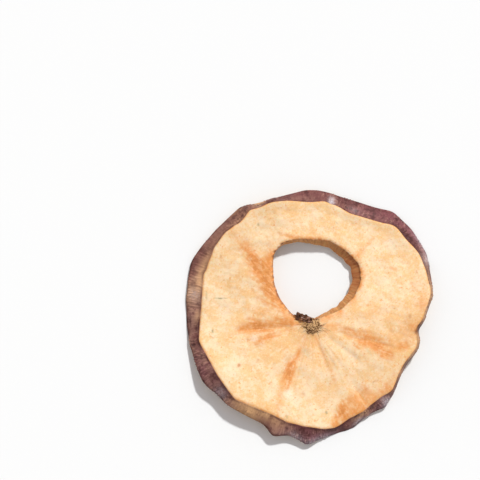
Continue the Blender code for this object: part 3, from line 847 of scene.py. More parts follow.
class Nodes:
    """A short way to add and join the nodes of one tree."""

    def __init__(self, tree):
        self.tree = tree

    def add(self, kind, **settings):
        """Add a node and set its properties and its unlinked inputs."""
        node = self.tree.nodes.new(kind)
        for key, value in settings.items():
            if key in node.inputs:
                node.inputs[key].default_value = value
            else:
                setattr(node, key, value)
        return node

    def join(self, output, target):
        """Join an output socket to an input socket."""
        self.tree.links.new(output, target)

    def feed(self, socket, item):
        """Join an output to an input socket, or set the socket to a plain value or colour."""
        if isinstance(item, bpy.types.NodeSocket):
            self.join(item, socket)
        else:
            socket.default_value = item

    def value(self, name):
        """A stored value of the mesh."""
        return self.add("ShaderNodeAttribute", attribute_name=name).outputs["Fac"]

    def vector(self, name):
        """A stored vector of the mesh."""
        return self.add("ShaderNodeAttribute", attribute_name=name).outputs["Vector"]

    def math(self, operation, first, second, clamp=False):
        """A sum, product or the like of two values."""
        node = self.add("ShaderNodeMath", operation=operation, use_clamp=clamp)
        self.feed(node.inputs[0], first)
        self.feed(node.inputs[1], second)
        return node.outputs[0]

    def plus(self, first, second, clamp=False):
        """The sum of two values."""
        return self.math("ADD", first, second, clamp)

    def times(self, first, second, clamp=False):
        """The product of two values."""
        return self.math("MULTIPLY", first, second, clamp)

    def weigh(self, first, share, second):
        """Two values weighed against each other by the first one's share."""
        return self.plus(self.times(first, share), self.times(second, 1.0 - share))

    def spread(self, value, low, high, to_low=0.0, to_high=1.0):
        """Map a value from one range to another, clamped."""
        node = self.add("ShaderNodeMapRange", interpolation_type="SMOOTHSTEP")
        limits = {"From Min": low, "From Max": high, "To Min": to_low, "To Max": to_high}
        for name, item in limits.items():
            self.feed(node.inputs[name], item)
        self.join(value, node.inputs["Value"])
        return node.outputs["Result"]

    def broken(self, name, texture, low, high, to_low, to_high, clamp=False):
        """A stored value, broken up by a texture."""
        return self.times(self.value(name), self.spread(texture, low, high, to_low, to_high), clamp)

    def mix(self, share, first, second):
        """Mix two colours by a share."""
        node = self.add("ShaderNodeMix", data_type="RGBA")
        for index, item in zip(MIX_INPUTS, (share, first, second)):
            self.feed(node.inputs[index], item)
        return node.outputs[MIX_RESULT]

    def noise(self, vector, scale, detail=4.0, rough=0.55):
        """Noise over a vector."""
        node = self.add("ShaderNodeTexNoise", Scale=scale, Detail=detail, Roughness=rough)
        self.join(vector, node.inputs["Vector"])
        return node.outputs["Fac"]

    def group(self, tree, **inputs):
        """Place a node group and set or join its inputs."""
        node = self.add("ShaderNodeGroup", node_tree=tree)
        for key, item in inputs.items():
            self.feed(node.inputs[key], item)
        return node.outputs

    def blotch(self, place, coarse, fine, low, high):
        """Place the group of dried blotches."""
        return self.group(blotch_group(), Place=place, Coarse=coarse, Fine=fine, Low=low, High=high)


def new_group(name, inputs, outputs):
    """A shader node group with named sockets."""
    tree = bpy.data.node_groups.new(name, "ShaderNodeTree")
    for label, kind, default in inputs:
        socket = tree.interface.new_socket(label, in_out="INPUT", socket_type=kind)
        if default is not None:
            socket.default_value = default
    for label, kind in outputs:
        tree.interface.new_socket(label, in_out="OUTPUT", socket_type=kind)
    nodes = Nodes(tree)
    return tree, nodes, nodes.add("NodeGroupInput"), nodes.add("NodeGroupOutput")


def millimetre_group():
    """Object coordinates in millimetres."""
    name = "Place in millimetres"
    if name in bpy.data.node_groups:
        return bpy.data.node_groups[name]
    tree, nodes, _, out = new_group(name, (), (("Place", "NodeSocketVector"),))
    place = nodes.add("ShaderNodeTexCoord")
    scale = nodes.add("ShaderNodeMapping", Scale=(1.0 / MM, 1.0 / MM, 1.0 / MM))
    nodes.join(place.outputs["Object"], scale.inputs["Vector"])
    nodes.join(scale.outputs["Vector"], out.inputs["Place"])
    return tree


def blotch_group():
    """Soft blotches with a coarse and a fine scale, as dried fruit has."""
    name = "Dried blotches"
    if name in bpy.data.node_groups:
        return bpy.data.node_groups[name]
    tree, nodes, entry, out = new_group(
        name,
        (
            ("Place", "NodeSocketVector", None),
            ("Coarse", "NodeSocketFloat", 0.2),
            ("Fine", "NodeSocketFloat", 1.2),
            ("Low", "NodeSocketFloat", 0.4),
            ("High", "NodeSocketFloat", 0.65),
        ),
        (("Blotch", "NodeSocketFloat"), ("Raw", "NodeSocketFloat")),
    )
    coarse = nodes.add("ShaderNodeTexNoise", Detail=3.0, Roughness=0.5)
    fine = nodes.add("ShaderNodeTexNoise", Detail=4.0, Roughness=0.6)
    for texture, scale in ((coarse, "Coarse"), (fine, "Fine")):
        nodes.join(entry.outputs["Place"], texture.inputs["Vector"])
        nodes.join(entry.outputs[scale], texture.inputs["Scale"])
    both = nodes.weigh(coarse.outputs["Fac"], 0.55, fine.outputs["Fac"])
    ramp = nodes.spread(both, entry.outputs["Low"], entry.outputs["High"])
    nodes.join(ramp, out.inputs["Blotch"])
    nodes.join(both, out.inputs["Raw"])
    return tree


def grain_group():
    """Height of a fine dry grain: small lumps, pits and a rough tooth."""
    name = "Dry grain"
    if name in bpy.data.node_groups:
        return bpy.data.node_groups[name]
    tree, nodes, entry, out = new_group(
        name,
        (
            ("Place", "NodeSocketVector", None),
            ("Lump", "NodeSocketFloat", 1.2),
            ("Tooth", "NodeSocketFloat", 5.0),
            ("Pits", "NodeSocketFloat", 0.3),
        ),
        (("Height", "NodeSocketFloat"),),
    )
    lump = nodes.add("ShaderNodeTexNoise", Detail=5.0, Roughness=0.6)
    tooth = nodes.add("ShaderNodeTexNoise", Detail=2.0, Roughness=0.7)
    cells = nodes.add("ShaderNodeTexVoronoi")
    for texture, scale in ((lump, "Lump"), (tooth, "Tooth"), (cells, "Lump")):
        nodes.join(entry.outputs["Place"], texture.inputs["Vector"])
        nodes.join(entry.outputs[scale], texture.inputs["Scale"])
    pit = nodes.spread(cells.outputs["Distance"], 0.0, 0.25, -1.0, 0.0)
    height = nodes.plus(lump.outputs["Fac"], nodes.times(tooth.outputs["Fac"], 0.35))
    height = nodes.plus(height, nodes.times(pit, entry.outputs["Pits"]))
    nodes.join(height, out.inputs["Height"])
    return tree


def new_material(name, roughness, specular):
    """A material with a Principled shader, its constants set on the shader's own sockets."""
    material = bpy.data.materials.new(name)
    material.use_nodes = True
    nodes = Nodes(material.node_tree)
    shader = material.node_tree.nodes["Principled BSDF"]
    shader.inputs["Roughness"].default_value = roughness
    shader.inputs["Specular IOR Level"].default_value = specular
    return material, nodes, shader


def dry_surface(nodes, shader, colour, raw, roughness):
    """Join the colour, and a roughness that follows the blotches."""
    nodes.join(colour, shader.inputs["Base Color"])
    nodes.join(nodes.spread(raw, *ROUGHNESS_FROM, *roughness), shader.inputs["Roughness"])


def bump(nodes, shader, height, distance_mm, strength):
    """Join a height in millimetres to the shader's normal."""
    node = nodes.add("ShaderNodeBump", Strength=strength, Distance=distance_mm * MM)
    nodes.join(height, node.inputs["Height"])
    nodes.join(node.outputs["Normal"], shader.inputs["Normal"])


def flesh_material(colours):
    """Cream flesh with pale, warm and browned areas, radial fibres and a browned hole wall."""
    material, nodes, shader = new_material("dried_flesh", 0.62, 0.25)
    place = nodes.group(millimetre_group())["Place"]
    fibre = nodes.vector("fibre")
    near_core = nodes.value("near_core")

    # Cream with pale and warm mottling
    mottle = nodes.blotch(place, 0.30, 0.95, 0.41, 0.60)
    colour = nodes.mix(mottle["Blotch"], colours.flesh_pale_and_lit, colours.flesh)
    drift = nodes.blotch(place, 0.42, 2.1, 0.48, 0.64)
    rays = nodes.times(nodes.spread(nodes.noise(fibre, 0.9, 4.0, 0.6), 0.45, 0.70), near_core)
    warm = nodes.plus(nodes.times(drift["Blotch"], 0.40), nodes.times(rays, 0.6))
    patchy = nodes.broken("warm", drift["Raw"], 0.36, 0.58, 0.55, 1.15)
    colour = nodes.mix(nodes.plus(warm, patchy, clamp=True), colour, colours.flesh_warm)
    pale = nodes.broken("pale", mottle["Raw"], 0.40, 0.56, 1.0, 0.45)
    colour = nodes.mix(nodes.times(pale, 0.85), colour, colours.flesh_pale_and_lit)

    # Chalky spots with a painted highlight among them, fine pale and warm specks and small browned flecks
    specks = nodes.noise(place, 2.4, 3.0, 0.6)
    chalk_and_highlight = nodes.broken("chalk_and_highlight", specks, 0.36, 0.54, 1.1, 0.6, clamp=True)
    colour = nodes.mix(chalk_and_highlight, colour, colours.flesh_chalk_and_highlight)
    colour = nodes.mix(nodes.spread(specks, 0.36, 0.46, 0.45, 0.0), colour, colours.flesh_pale_and_lit)
    colour = nodes.mix(nodes.spread(specks, 0.55, 0.68, 0.0, 0.50), colour, colours.flesh_warm)
    flecks = nodes.spread(nodes.noise(place, 1.35, 2.0, 0.5), 0.640, 0.73, 0.0, 0.65)
    colour = nodes.mix(flecks, colour, colours.browned)

    # Browned streaks, broken up along the fibres and by small tufts
    lines = nodes.noise(fibre, 1.3, 5.0, 0.65)
    tufts = nodes.noise(place, 1.1, 4.0, 0.6)
    streaky = nodes.weigh(lines, 0.5, tufts)
    browning = nodes.broken("browning", streaky, 0.36, 0.62, 0.45, 1.30, clamp=True)
    colour = nodes.mix(nodes.spread(browning, 0.0, 0.85, 0.0, 0.95), colour, colours.browned)
    colour = nodes.mix(nodes.spread(browning, 0.76, 1.12, 0.0, 0.5), colour, colours.browned_deep)
    colour = nodes.mix(nodes.value("green_marks"), colour, colours.mark_green)
    colour = nodes.mix(nodes.value("brown_marks"), colour, colours.browned_deep)

    # Painted shade: a thin browned line along the outer edge, beside the peel
    rim = nodes.broken("rim_shade", tufts, 0.35, 0.60, 0.45, 0.85)
    colour = nodes.mix(rim, colour, colours.browned)

    # Wall of the hole with its painted light and shade, painted shade under the core remnant and along
    # the hole's edge
    wall_fibre = nodes.noise(nodes.vector("wall_fibre"), 1.0, 5.0, 0.65)
    # Painted light and shade on the wall by heading, with paler and darker fibres
    fibre_shade = nodes.spread(wall_fibre, 0.35, 0.66, -0.25, 0.25)
    lit_share = nodes.plus(nodes.value("wall_lit_share"), fibre_shade)
    lit_share = nodes.math("MAXIMUM", lit_share, 0.0, clamp=True)
    wall_colour = nodes.mix(lit_share, colours.wall, colours.wall_pale_and_lit)
    colour = nodes.mix(nodes.value("wall"), colour, wall_colour)
    # Painted shade under the core remnant's grains and its flake
    under_core_shade = nodes.broken("core_shade", specks, 0.40, 0.52, 1.0, 0.35)
    colour = nodes.mix(under_core_shade, colour, colours.core_dark_and_shade)
    # Painted shade along the hole's edge
    edge = nodes.broken("hole_edge_shade", tufts, 0.35, 0.60, 0.60, 1.0)
    colour = nodes.mix(edge, colour, colours.hole_edge_shade)

    dry_surface(nodes, shader, colour, mottle["Raw"], (0.52, 0.70))
    grain = nodes.group(grain_group(), Place=place, Lump=1.3, Tooth=6.0, Pits=0.25)["Height"]
    ridges = nodes.times(lines, nodes.plus(near_core, 0.25))
    bump(nodes, shader, nodes.plus(grain, ridges), 0.08, 0.5)
    shader.inputs["Subsurface Weight"].default_value = 0.25
    shader.inputs["Subsurface Radius"].default_value = (1.0, 0.45, 0.2)
    shader.inputs["Subsurface Scale"].default_value = 1.5 * MM
    return material


def peel_material(colours):
    """Purple brown peel with dark and wine red stretches, tan thin places and light spots, with painted
    highlights and glints and painted shade in its furrows and along its cut edge.
    """
    material, nodes, shader = new_material("dried_peel", 0.5, 0.20)
    place = nodes.group(millimetre_group())["Place"]
    band = nodes.vector("band")
    blotch = nodes.blotch(place, 0.50, 1.6, 0.42, 0.62)
    cross = nodes.noise(band, 0.75, 5.0, 0.6)
    stretch = nodes.add("ShaderNodeMapping", Scale=(0.16, 0.16, 2.0))
    nodes.join(band, stretch.inputs["Vector"])
    along = nodes.noise(stretch.outputs["Vector"], 1.0, 4.0, 0.6)
    specks = nodes.noise(place, 2.6, 3.0, 0.6)
    crest = nodes.value("crest")

    # Tints laid along the band, the light and tan ones broken up by the streaks that run across it; the
    # light tint is in part a painted highlight
    colour = nodes.mix(nodes.value("cool"), colours.peel, colours.peel_cool)
    colour = nodes.mix(nodes.value("wine"), colour, colours.peel_wine)
    light = nodes.broken("light", cross, 0.34, 0.58, 0.35, 1.0)
    colour = nodes.mix(light, colour, colours.peel_light_and_highlight)
    tan = nodes.broken("tan", cross, 0.30, 0.50, 0.65, 1.0)
    colour = nodes.mix(tan, colour, colours.peel_tan)

    # Dark and light streaks and patches of the wrinkled skin, fainter where it is smooth, with a painted
    # highlight on the wrinkles' crests and painted shade in their furrows
    plain = nodes.spread(nodes.value("calm"), 0.1, 0.9, 1.0, 0.35)
    streaks = nodes.weigh(blotch["Raw"], 0.55, nodes.weigh(cross, 0.40, along))
    dark = nodes.times(nodes.spread(streaks, 0.41, 0.52, 0.80, 0.0), plain)
    colour = nodes.mix(dark, colour, colours.peel_dark_and_shade)
    # Painted highlight: the wrinkles' crests are lightened
    crest_highlight = nodes.spread(nodes.weigh(specks, 0.5, cross), 0.52, 0.62, 0.0, 0.60)
    crest_highlight = nodes.times(crest_highlight, nodes.spread(crest, 0.1, 0.7, 0.5, 1.0))
    colour = nodes.mix(nodes.times(crest_highlight, plain), colour, colours.peel_light_and_highlight)
    # Painted shade: the wrinkles' furrows are darkened
    furrow_shade = nodes.times(nodes.spread(crest, 0.0, 0.35, 0.30, 0.0), plain)
    colour = nodes.mix(furrow_shade, colour, colours.peel_dark_and_shade)
    shade = nodes.broken("blotches", streaks, 0.40, 0.60, 1.15, 0.55, clamp=True)
    colour = nodes.mix(shade, colour, colours.peel_dark_and_shade)

    # Painted highlights in spots, painted glints as small light dots, and painted shade along the cut
    # edge
    painted_highlight = nodes.broken("painted_highlight", specks, 0.36, 0.54, 0.15, 1.0)
    colour = nodes.mix(painted_highlight, colour, colours.peel_painted_highlight)
    # Painted glints: small light dots over the blotches
    glint_cells = nodes.add("ShaderNodeTexVoronoi", Scale=1.7)
    nodes.join(place, glint_cells.inputs["Vector"])
    glint = nodes.spread(glint_cells.outputs["Distance"], 0.10, 0.24, 0.55, 0.0)
    colour = nodes.mix(nodes.times(glint, blotch["Blotch"]), colour, colours.peel_light_and_highlight)
    # Painted shade along the cut edge
    colour = nodes.mix(nodes.value("lip_shade"), colour, colours.peel_dark_and_shade)

    dry_surface(nodes, shader, colour, blotch["Raw"], (0.42, 0.62))
    grain = nodes.group(grain_group(), Place=place, Lump=2.2, Tooth=8.0, Pits=0.4)["Height"]
    bump(nodes, shader, nodes.plus(grain, cross), 0.09, 0.6)
    return material


def core_material(colours):
    """Tan grains and brown fibres of the core remnant, darker where the grains carry painted shade."""
    material, nodes, shader = new_material("core_remnant", 0.7, 0.2)
    place = nodes.group(millimetre_group())["Place"]
    blotch = nodes.blotch(place, 1.4, 5.0, 0.46, 0.64)
    dark = nodes.plus(nodes.times(blotch["Blotch"], 0.35), nodes.value("dark"), clamp=True)
    colour = nodes.mix(dark, colours.core, colours.core_dark_and_shade)
    dry_surface(nodes, shader, colour, blotch["Raw"], (0.60, 0.80))
    grain = nodes.group(grain_group(), Place=place, Lump=4.0, Tooth=12.0, Pits=0.3)["Height"]
    bump(nodes, shader, grain, 0.05, 0.6)
    return material


def flake_material(colours):
    """Mauve brown skin of the torn flake, with painted shade in its folds and a painted sheen on its
    creases.
    """
    material, nodes, shader = new_material("core_flake", 0.45, 0.35)
    place = nodes.group(millimetre_group())["Place"]
    blotch = nodes.blotch(place, 0.9, 3.0, 0.42, 0.60)
    dark = nodes.plus(nodes.times(blotch["Blotch"], 0.6), nodes.value("dark"), clamp=True)
    colour = nodes.mix(dark, colours.flake, colours.flake_dark_and_shade)
    # Painted sheen on the creases
    sheen = nodes.spread(nodes.noise(place, 1.1, 2.0, 0.5), 0.55, 0.66, 0.0, 0.70)
    colour = nodes.mix(sheen, colour, colours.flake_sheen)
    dry_surface(nodes, shader, colour, blotch["Raw"], (0.40, 0.60))
    grain = nodes.group(grain_group(), Place=place, Lump=2.5, Tooth=9.0, Pits=0.3)["Height"]
    bump(nodes, shader, grain, 0.08, 0.6)
    return material


# Pieces


class APPLE_RING_OT_flesh(bpy.types.Operator):
    """Model the flesh of the ring with its creases, soft bumps and frayed hole"""

    bl_idname = "apple_ring.flesh"
    bl_label = "Flesh"

    def execute(self, context):
        sizes = context.scene.apple_ring_sizes
        rows = FLESH_ROWS
        heading = np.linspace(0.0, 2.0 * np.pi, rows, endpoint=False)
        edges = ring_edges(heading)
        out = edges["out"]
        fray = sizes.fray / MM
        ragged = uneven(heading, 0.0, HOLE_TOP_WAVES)
        hole_top = edges["hole_top"] + out * (HOLE_TOP_FRAY * fray * ragged)[:, None]
        ragged = uneven(heading, 0.0, HOLE_LOW_WAVES)
        hole_low = edges["hole_low"] + out * (HOLE_LOW_FRAY * fray * ragged)[:, None]
        skin_top = edges["skin_top"] - out * FLESH_TUCK

        skin_share = np.linspace(0.0, FLESH_SKIN_END, FLESH_SKIN_STATIONS)
        skin = skin_surface(heading, np.tile(skin_share, (rows, 1)), sizes)
        skin -= surface_directions(skin)[0] * (FLESH_DEPTH * sizes.peel_thickness / MM)

        share = eased_steps(FLESH_UPPER_STATIONS)
        plan = between(skin_top, hole_top, share)
        height = lower_height(plan) + upper_thickness(np.tile(share, (rows, 1)), sizes)
        height -= crease_depth(plan, CREASE_HALF_WIDTH)
        height -= crease_depth(plan, CREASE_LINE_HALF_WIDTH, CREASE_LINE_SHARE)
        height += mound(plan, TUFT_CENTRE, TUFT_RADIUS, MOUND_SHARE * TUFT_HEIGHT)
        height += mound(plan, FLAKE_CENTRE, FLAKE_RADIUS, MOUND_SHARE * FLAKE_HEIGHT)
        height += self.relief(plan, share, sizes)
        upper = with_height(plan, height)

        down = (np.arange(FLESH_WALL_STATIONS) + 1.0) / (FLESH_WALL_STATIONS + 1.0)
        foot = (lower_height(hole_low) + EDGE_ROUNDING)[:, None]
        edge = upper[:, -1, 2][:, None]
        groove = uneven(heading[:, None], down[None, :], WALL_WAVES)
        bulge = (WALL_GROOVE * groove + WALL_BULGE) * np.sin(np.pi * down)[None, :]
        plan = between(hole_top, hole_low, smooth_step(down)) + out[:, None, :] * bulge[..., None]
        wall = with_height(plan, edge + (foot - edge) * down[None, :])

        back = eased_steps(FLESH_LOWER_STATIONS)
        plan = between(hole_low, edges["rim_low"], back)
        height = lower_height(plan) + EDGE_ROUNDING * np.exp(-back / HOLE_ROUNDING_REACH)[None, :]
        height += crease_depth(plan, CREASE_HALF_WIDTH, LOWER_CREASE_SHARE)
        height += np.maximum(self.relief(plan, 1.0 - back, sizes), 0.0)
        lower = with_height(plan, height)

        points = np.concatenate([skin, upper, wall, lower], axis=1)
        points[..., 2] = np.maximum(points[..., 2], 0.0)
        values, vectors = self.paint(points, heading)
        piece = new_ring("flesh", points + frame_shift(sizes), values, vectors)
        finish_piece(piece, flesh_material(context.scene.apple_ring_colours))
        return {"FINISHED"}

    def relief(self, plan, share, sizes):
        """Height of the soft bumps and of the fibres that run out from the core."""
        heading, distance = from_tuft(plan)
        fibres = uneven(heading, distance, FIBRE_WAVES) * np.exp(-distance / FIBRE_FADE)
        calm = np.sin(np.pi * np.clip(share, 0.0, 1.0)) ** 0.5
        return (sizes.flesh_relief / MM) * (bumpy(plan, FLESH_BUMPS) + FIBRE_SHARE * fibres) * calm

    def paint(self, points, heading):
        """Where the flesh is browned, warm, pale or marked, where the hole's wall is, and where light and
        shade are painted on it.
        """
        plan = points[..., :2]
        first = FLESH_SKIN_STATIONS
        edge = first + FLESH_UPPER_STATIONS - 1
        last = edge + FLESH_WALL_STATIONS + 1
        station = np.arange(points.shape[1])
        upper = (station <= edge).astype(float)[None, :]
        wall = smooth_step((station - edge + 0.5) / WALL_FADE_TOP)
        wall = wall * smooth_step((last + 1.0 - station) / WALL_FADE_FOOT)

        from_edge = np.linalg.norm(plan - plan[:, edge][:, None, :], axis=-1)
        from_rim = np.linalg.norm(plan - plan[:, first][:, None, :], axis=-1)
        strength = stops_round(HALO_STRENGTH, HALO_ROUNDING_DEG, heading)
        strength = np.clip(strength * uneven(heading, 0.0, HALO_WAVES, 1.0), 0.0, HALO_LIMIT)
        width = stops_round(HALO_WIDTH, HALO_ROUNDING_DEG, heading)
        halo = strength[:, None] * np.exp(-((from_edge / width[:, None]) ** HALO_POWER))
        brown = 1.0 - (1.0 - capsule_mask(plan, BROWN_STREAKS, BROWN_SPREAD)) * (1.0 - halo)
        # Painted shade along the hole's edge, by heading
        line = stops_round(EDGE_SHADE, LINE_ROUNDING_DEG, heading)
        line = np.clip(line * uneven(heading, 0.0, EDGE_SHADE_WAVES, 1.0), 0.0, 1.0)[:, None]
        line_width = EDGE_SHADE_NARROW + EDGE_SHADE_WIDENING * line ** 2
        line = line * np.exp(-((from_edge / line_width) ** 2))
        line = line * (station <= edge + EDGE_SHADE_STATIONS)[None, :]
        angle, distance = from_tuft(plan)
        values = {
            "browning": brown * (LOWER_BROWNING + UPPER_BROWNING * upper),
            "warm": area_mask(plan, WARM_AREAS) + HOLE_WARMTH * np.exp(-from_edge / HOLE_WARMTH_REACH),
            "pale": area_mask(plan, PALE_AND_LIT_AREAS),
            "chalk_and_highlight": area_mask(plan, CHALK_AND_HIGHLIGHT_SPOTS),
            "brown_marks": capsule_mask(plan, BROWN_MARKS) * upper,
            "green_marks": capsule_mask(plan, GREEN_MARKS) * upper,
            "rim_shade": np.exp(-((from_rim / RIM_SHADE_WIDTH) ** 2)),
            "wall": wall,
            "wall_lit_share": stops_round(WALL_LIT_SHARE, LINE_ROUNDING_DEG, heading)[:, None],
            "hole_edge_shade": np.maximum(line, capsule_mask(plan, EDGE_SHADE_MARKS)),
            "core_shade": area_mask(plan, CORE_SHADE_SPOTS) * upper,
            "near_core": np.exp(-distance / CORE_REACH),
        }
        turn = np.broadcast_to(heading[:, None], plan.shape[:-1])
        vectors = {
            "fibre": rolled(angle, FIBRE_RADIUS, FIBRE_STRETCH * distance),
            "wall_fibre": rolled(turn, WALL_RADIUS, WALL_STRETCH * points[..., 2]),
        }
        return values, vectors


class APPLE_RING_OT_peel(bpy.types.Operator):
    """Model the wrinkled peel band that lies round the rim"""

    bl_idname = "apple_ring.peel"
    bl_label = "Peel"

    def execute(self, context):
        sizes = context.scene.apple_ring_sizes
        heading = np.linspace(0.0, 2.0 * np.pi, PEEL_ROWS, endpoint=False)
        across = np.linspace(PEEL_SHARE_START, PEEL_SHARE_END, PEEL_OUTER_STATIONS)
        share = np.tile(across, (PEEL_ROWS, 1))
        surface = skin_surface(heading, share, sizes)
        normal, climb = surface_directions(surface)

        turn = heading[:, None]
        wrinkles = 2.0 * np.pi * RIM_RADIUS / (sizes.wrinkle_spacing / MM)
        waves = [(part, wrinkles * count, slant, seed) for part, count, slant, seed in WRINKLE_WAVES]
        crinkle = uneven(turn, share, waves)
        swell = round_noise(turn, share, wrinkles / WRINKLES_A_SWELL, SWELL_SLANT, SWELL_SEED)
        patches = uneven(turn, share, PEEL_PATCH_WAVES, PATCH_MIDDLE)
        smooth = 1.0 - CALM_SHARE * band_mask(turn, share, PEEL_CALM)
        ridge = np.abs(crinkle) * np.clip(patches, *PATCH_LIMITS) * smooth
        off_lip = smooth_step((PEEL_SHARE_END - share) / LIP_FADE)
        ridged = RIDGE_SHARE * (ridge - RIDGE_MIDDLE) * (RIDGE_AT_LIP + RIDGE_OFF_LIP * off_lip)
        lift = (sizes.wrinkle_depth / MM) * (ridged + SWELL_SHARE * swell * off_lip)
        outer = surface + normal * np.clip(lift, -LIFT_LIMIT, LIFT_LIMIT)[..., None]

        pick = np.linspace(PEEL_OUTER_STATIONS - 1, 0, PEEL_INNER_STATIONS).round().astype(int)
        inner = surface[:, pick] - normal[:, pick] * (sizes.peel_thickness / MM)
        lip = np.clip(sizes.peel_lip / MM * uneven(heading, 0.0, LIP_WAVES, 1.0), *LIP_LIMITS)
        top = self.edge_points(outer[:, -1], inner[:, 0], climb[:, -1] * lip[:, None])
        low = self.edge_points(inner[:, -1], outer[:, 0], climb[:, 0] * LOWER_LIP)
        points = np.concatenate([outer, top, inner, low], axis=1)
        points[..., 2] = np.maximum(points[..., 2], 0.0)

        values, vectors = self.paint(points, heading, ridge)
        piece = new_ring("peel", points + frame_shift(sizes), values, vectors)
        finish_piece(piece, peel_material(context.scene.apple_ring_colours))
        return {"FINISHED"}

    def edge_points(self, start, end, push):
        """A rounded edge between two rows of points."""
        share = (np.arange(LIP_STATIONS) + 1.0) / (LIP_STATIONS + 1.0)
        round_over = np.sin(np.pi * share)[None, :, None] ** LIP_POWER
        return between(start, end, share) + push[:, None, :] * round_over

    def paint(self, points, heading, ridge):
        """The peel's tints, the painted shade along its cut edge and the coordinates that follow the
        band.
        """
        rows, stations = points.shape[:2]
        outer = np.linspace(PEEL_SHARE_START, PEEL_SHARE_END, PEEL_OUTER_STATIONS)
        rest = stations - PEEL_OUTER_STATIONS - LIP_STATIONS
        share = np.concatenate([outer, np.full(LIP_STATIONS, LIP_SHARE), np.zeros(rest)])[None, :]
        turn = heading[:, None]
        from_lip = (1.0 - share) * ring_edges(heading)["width"]
        # Painted shade along the cut edge, by heading
        lip_shade_strength = stops_round(LIP_SHADE, LINE_ROUNDING_DEG, heading)
        lip_shade_strength = np.clip(lip_shade_strength * uneven(heading, 0.0, LIP_SHADE_WAVES, 1.0), 0.0, 1.0)
        crest = np.full((rows, stations), 0.5)
        crest[:, :PEEL_OUTER_STATIONS] = smooth_step(ridge / RIDGE_CREST)
        values = {label: band_mask(turn, share, tints) for label, tints in PEEL_TINTS.items()}
        values["lip_shade"] = lip_shade_strength[:, None] * np.exp(-((from_lip / LIP_SHADE_WIDTH) ** 2))
        values["crest"] = crest
        across = np.broadcast_to(share * BAND_STRETCH, (rows, stations))
        around = np.broadcast_to(turn, (rows, stations))
        return values, {"band": rolled(around, RIM_RADIUS, across)}


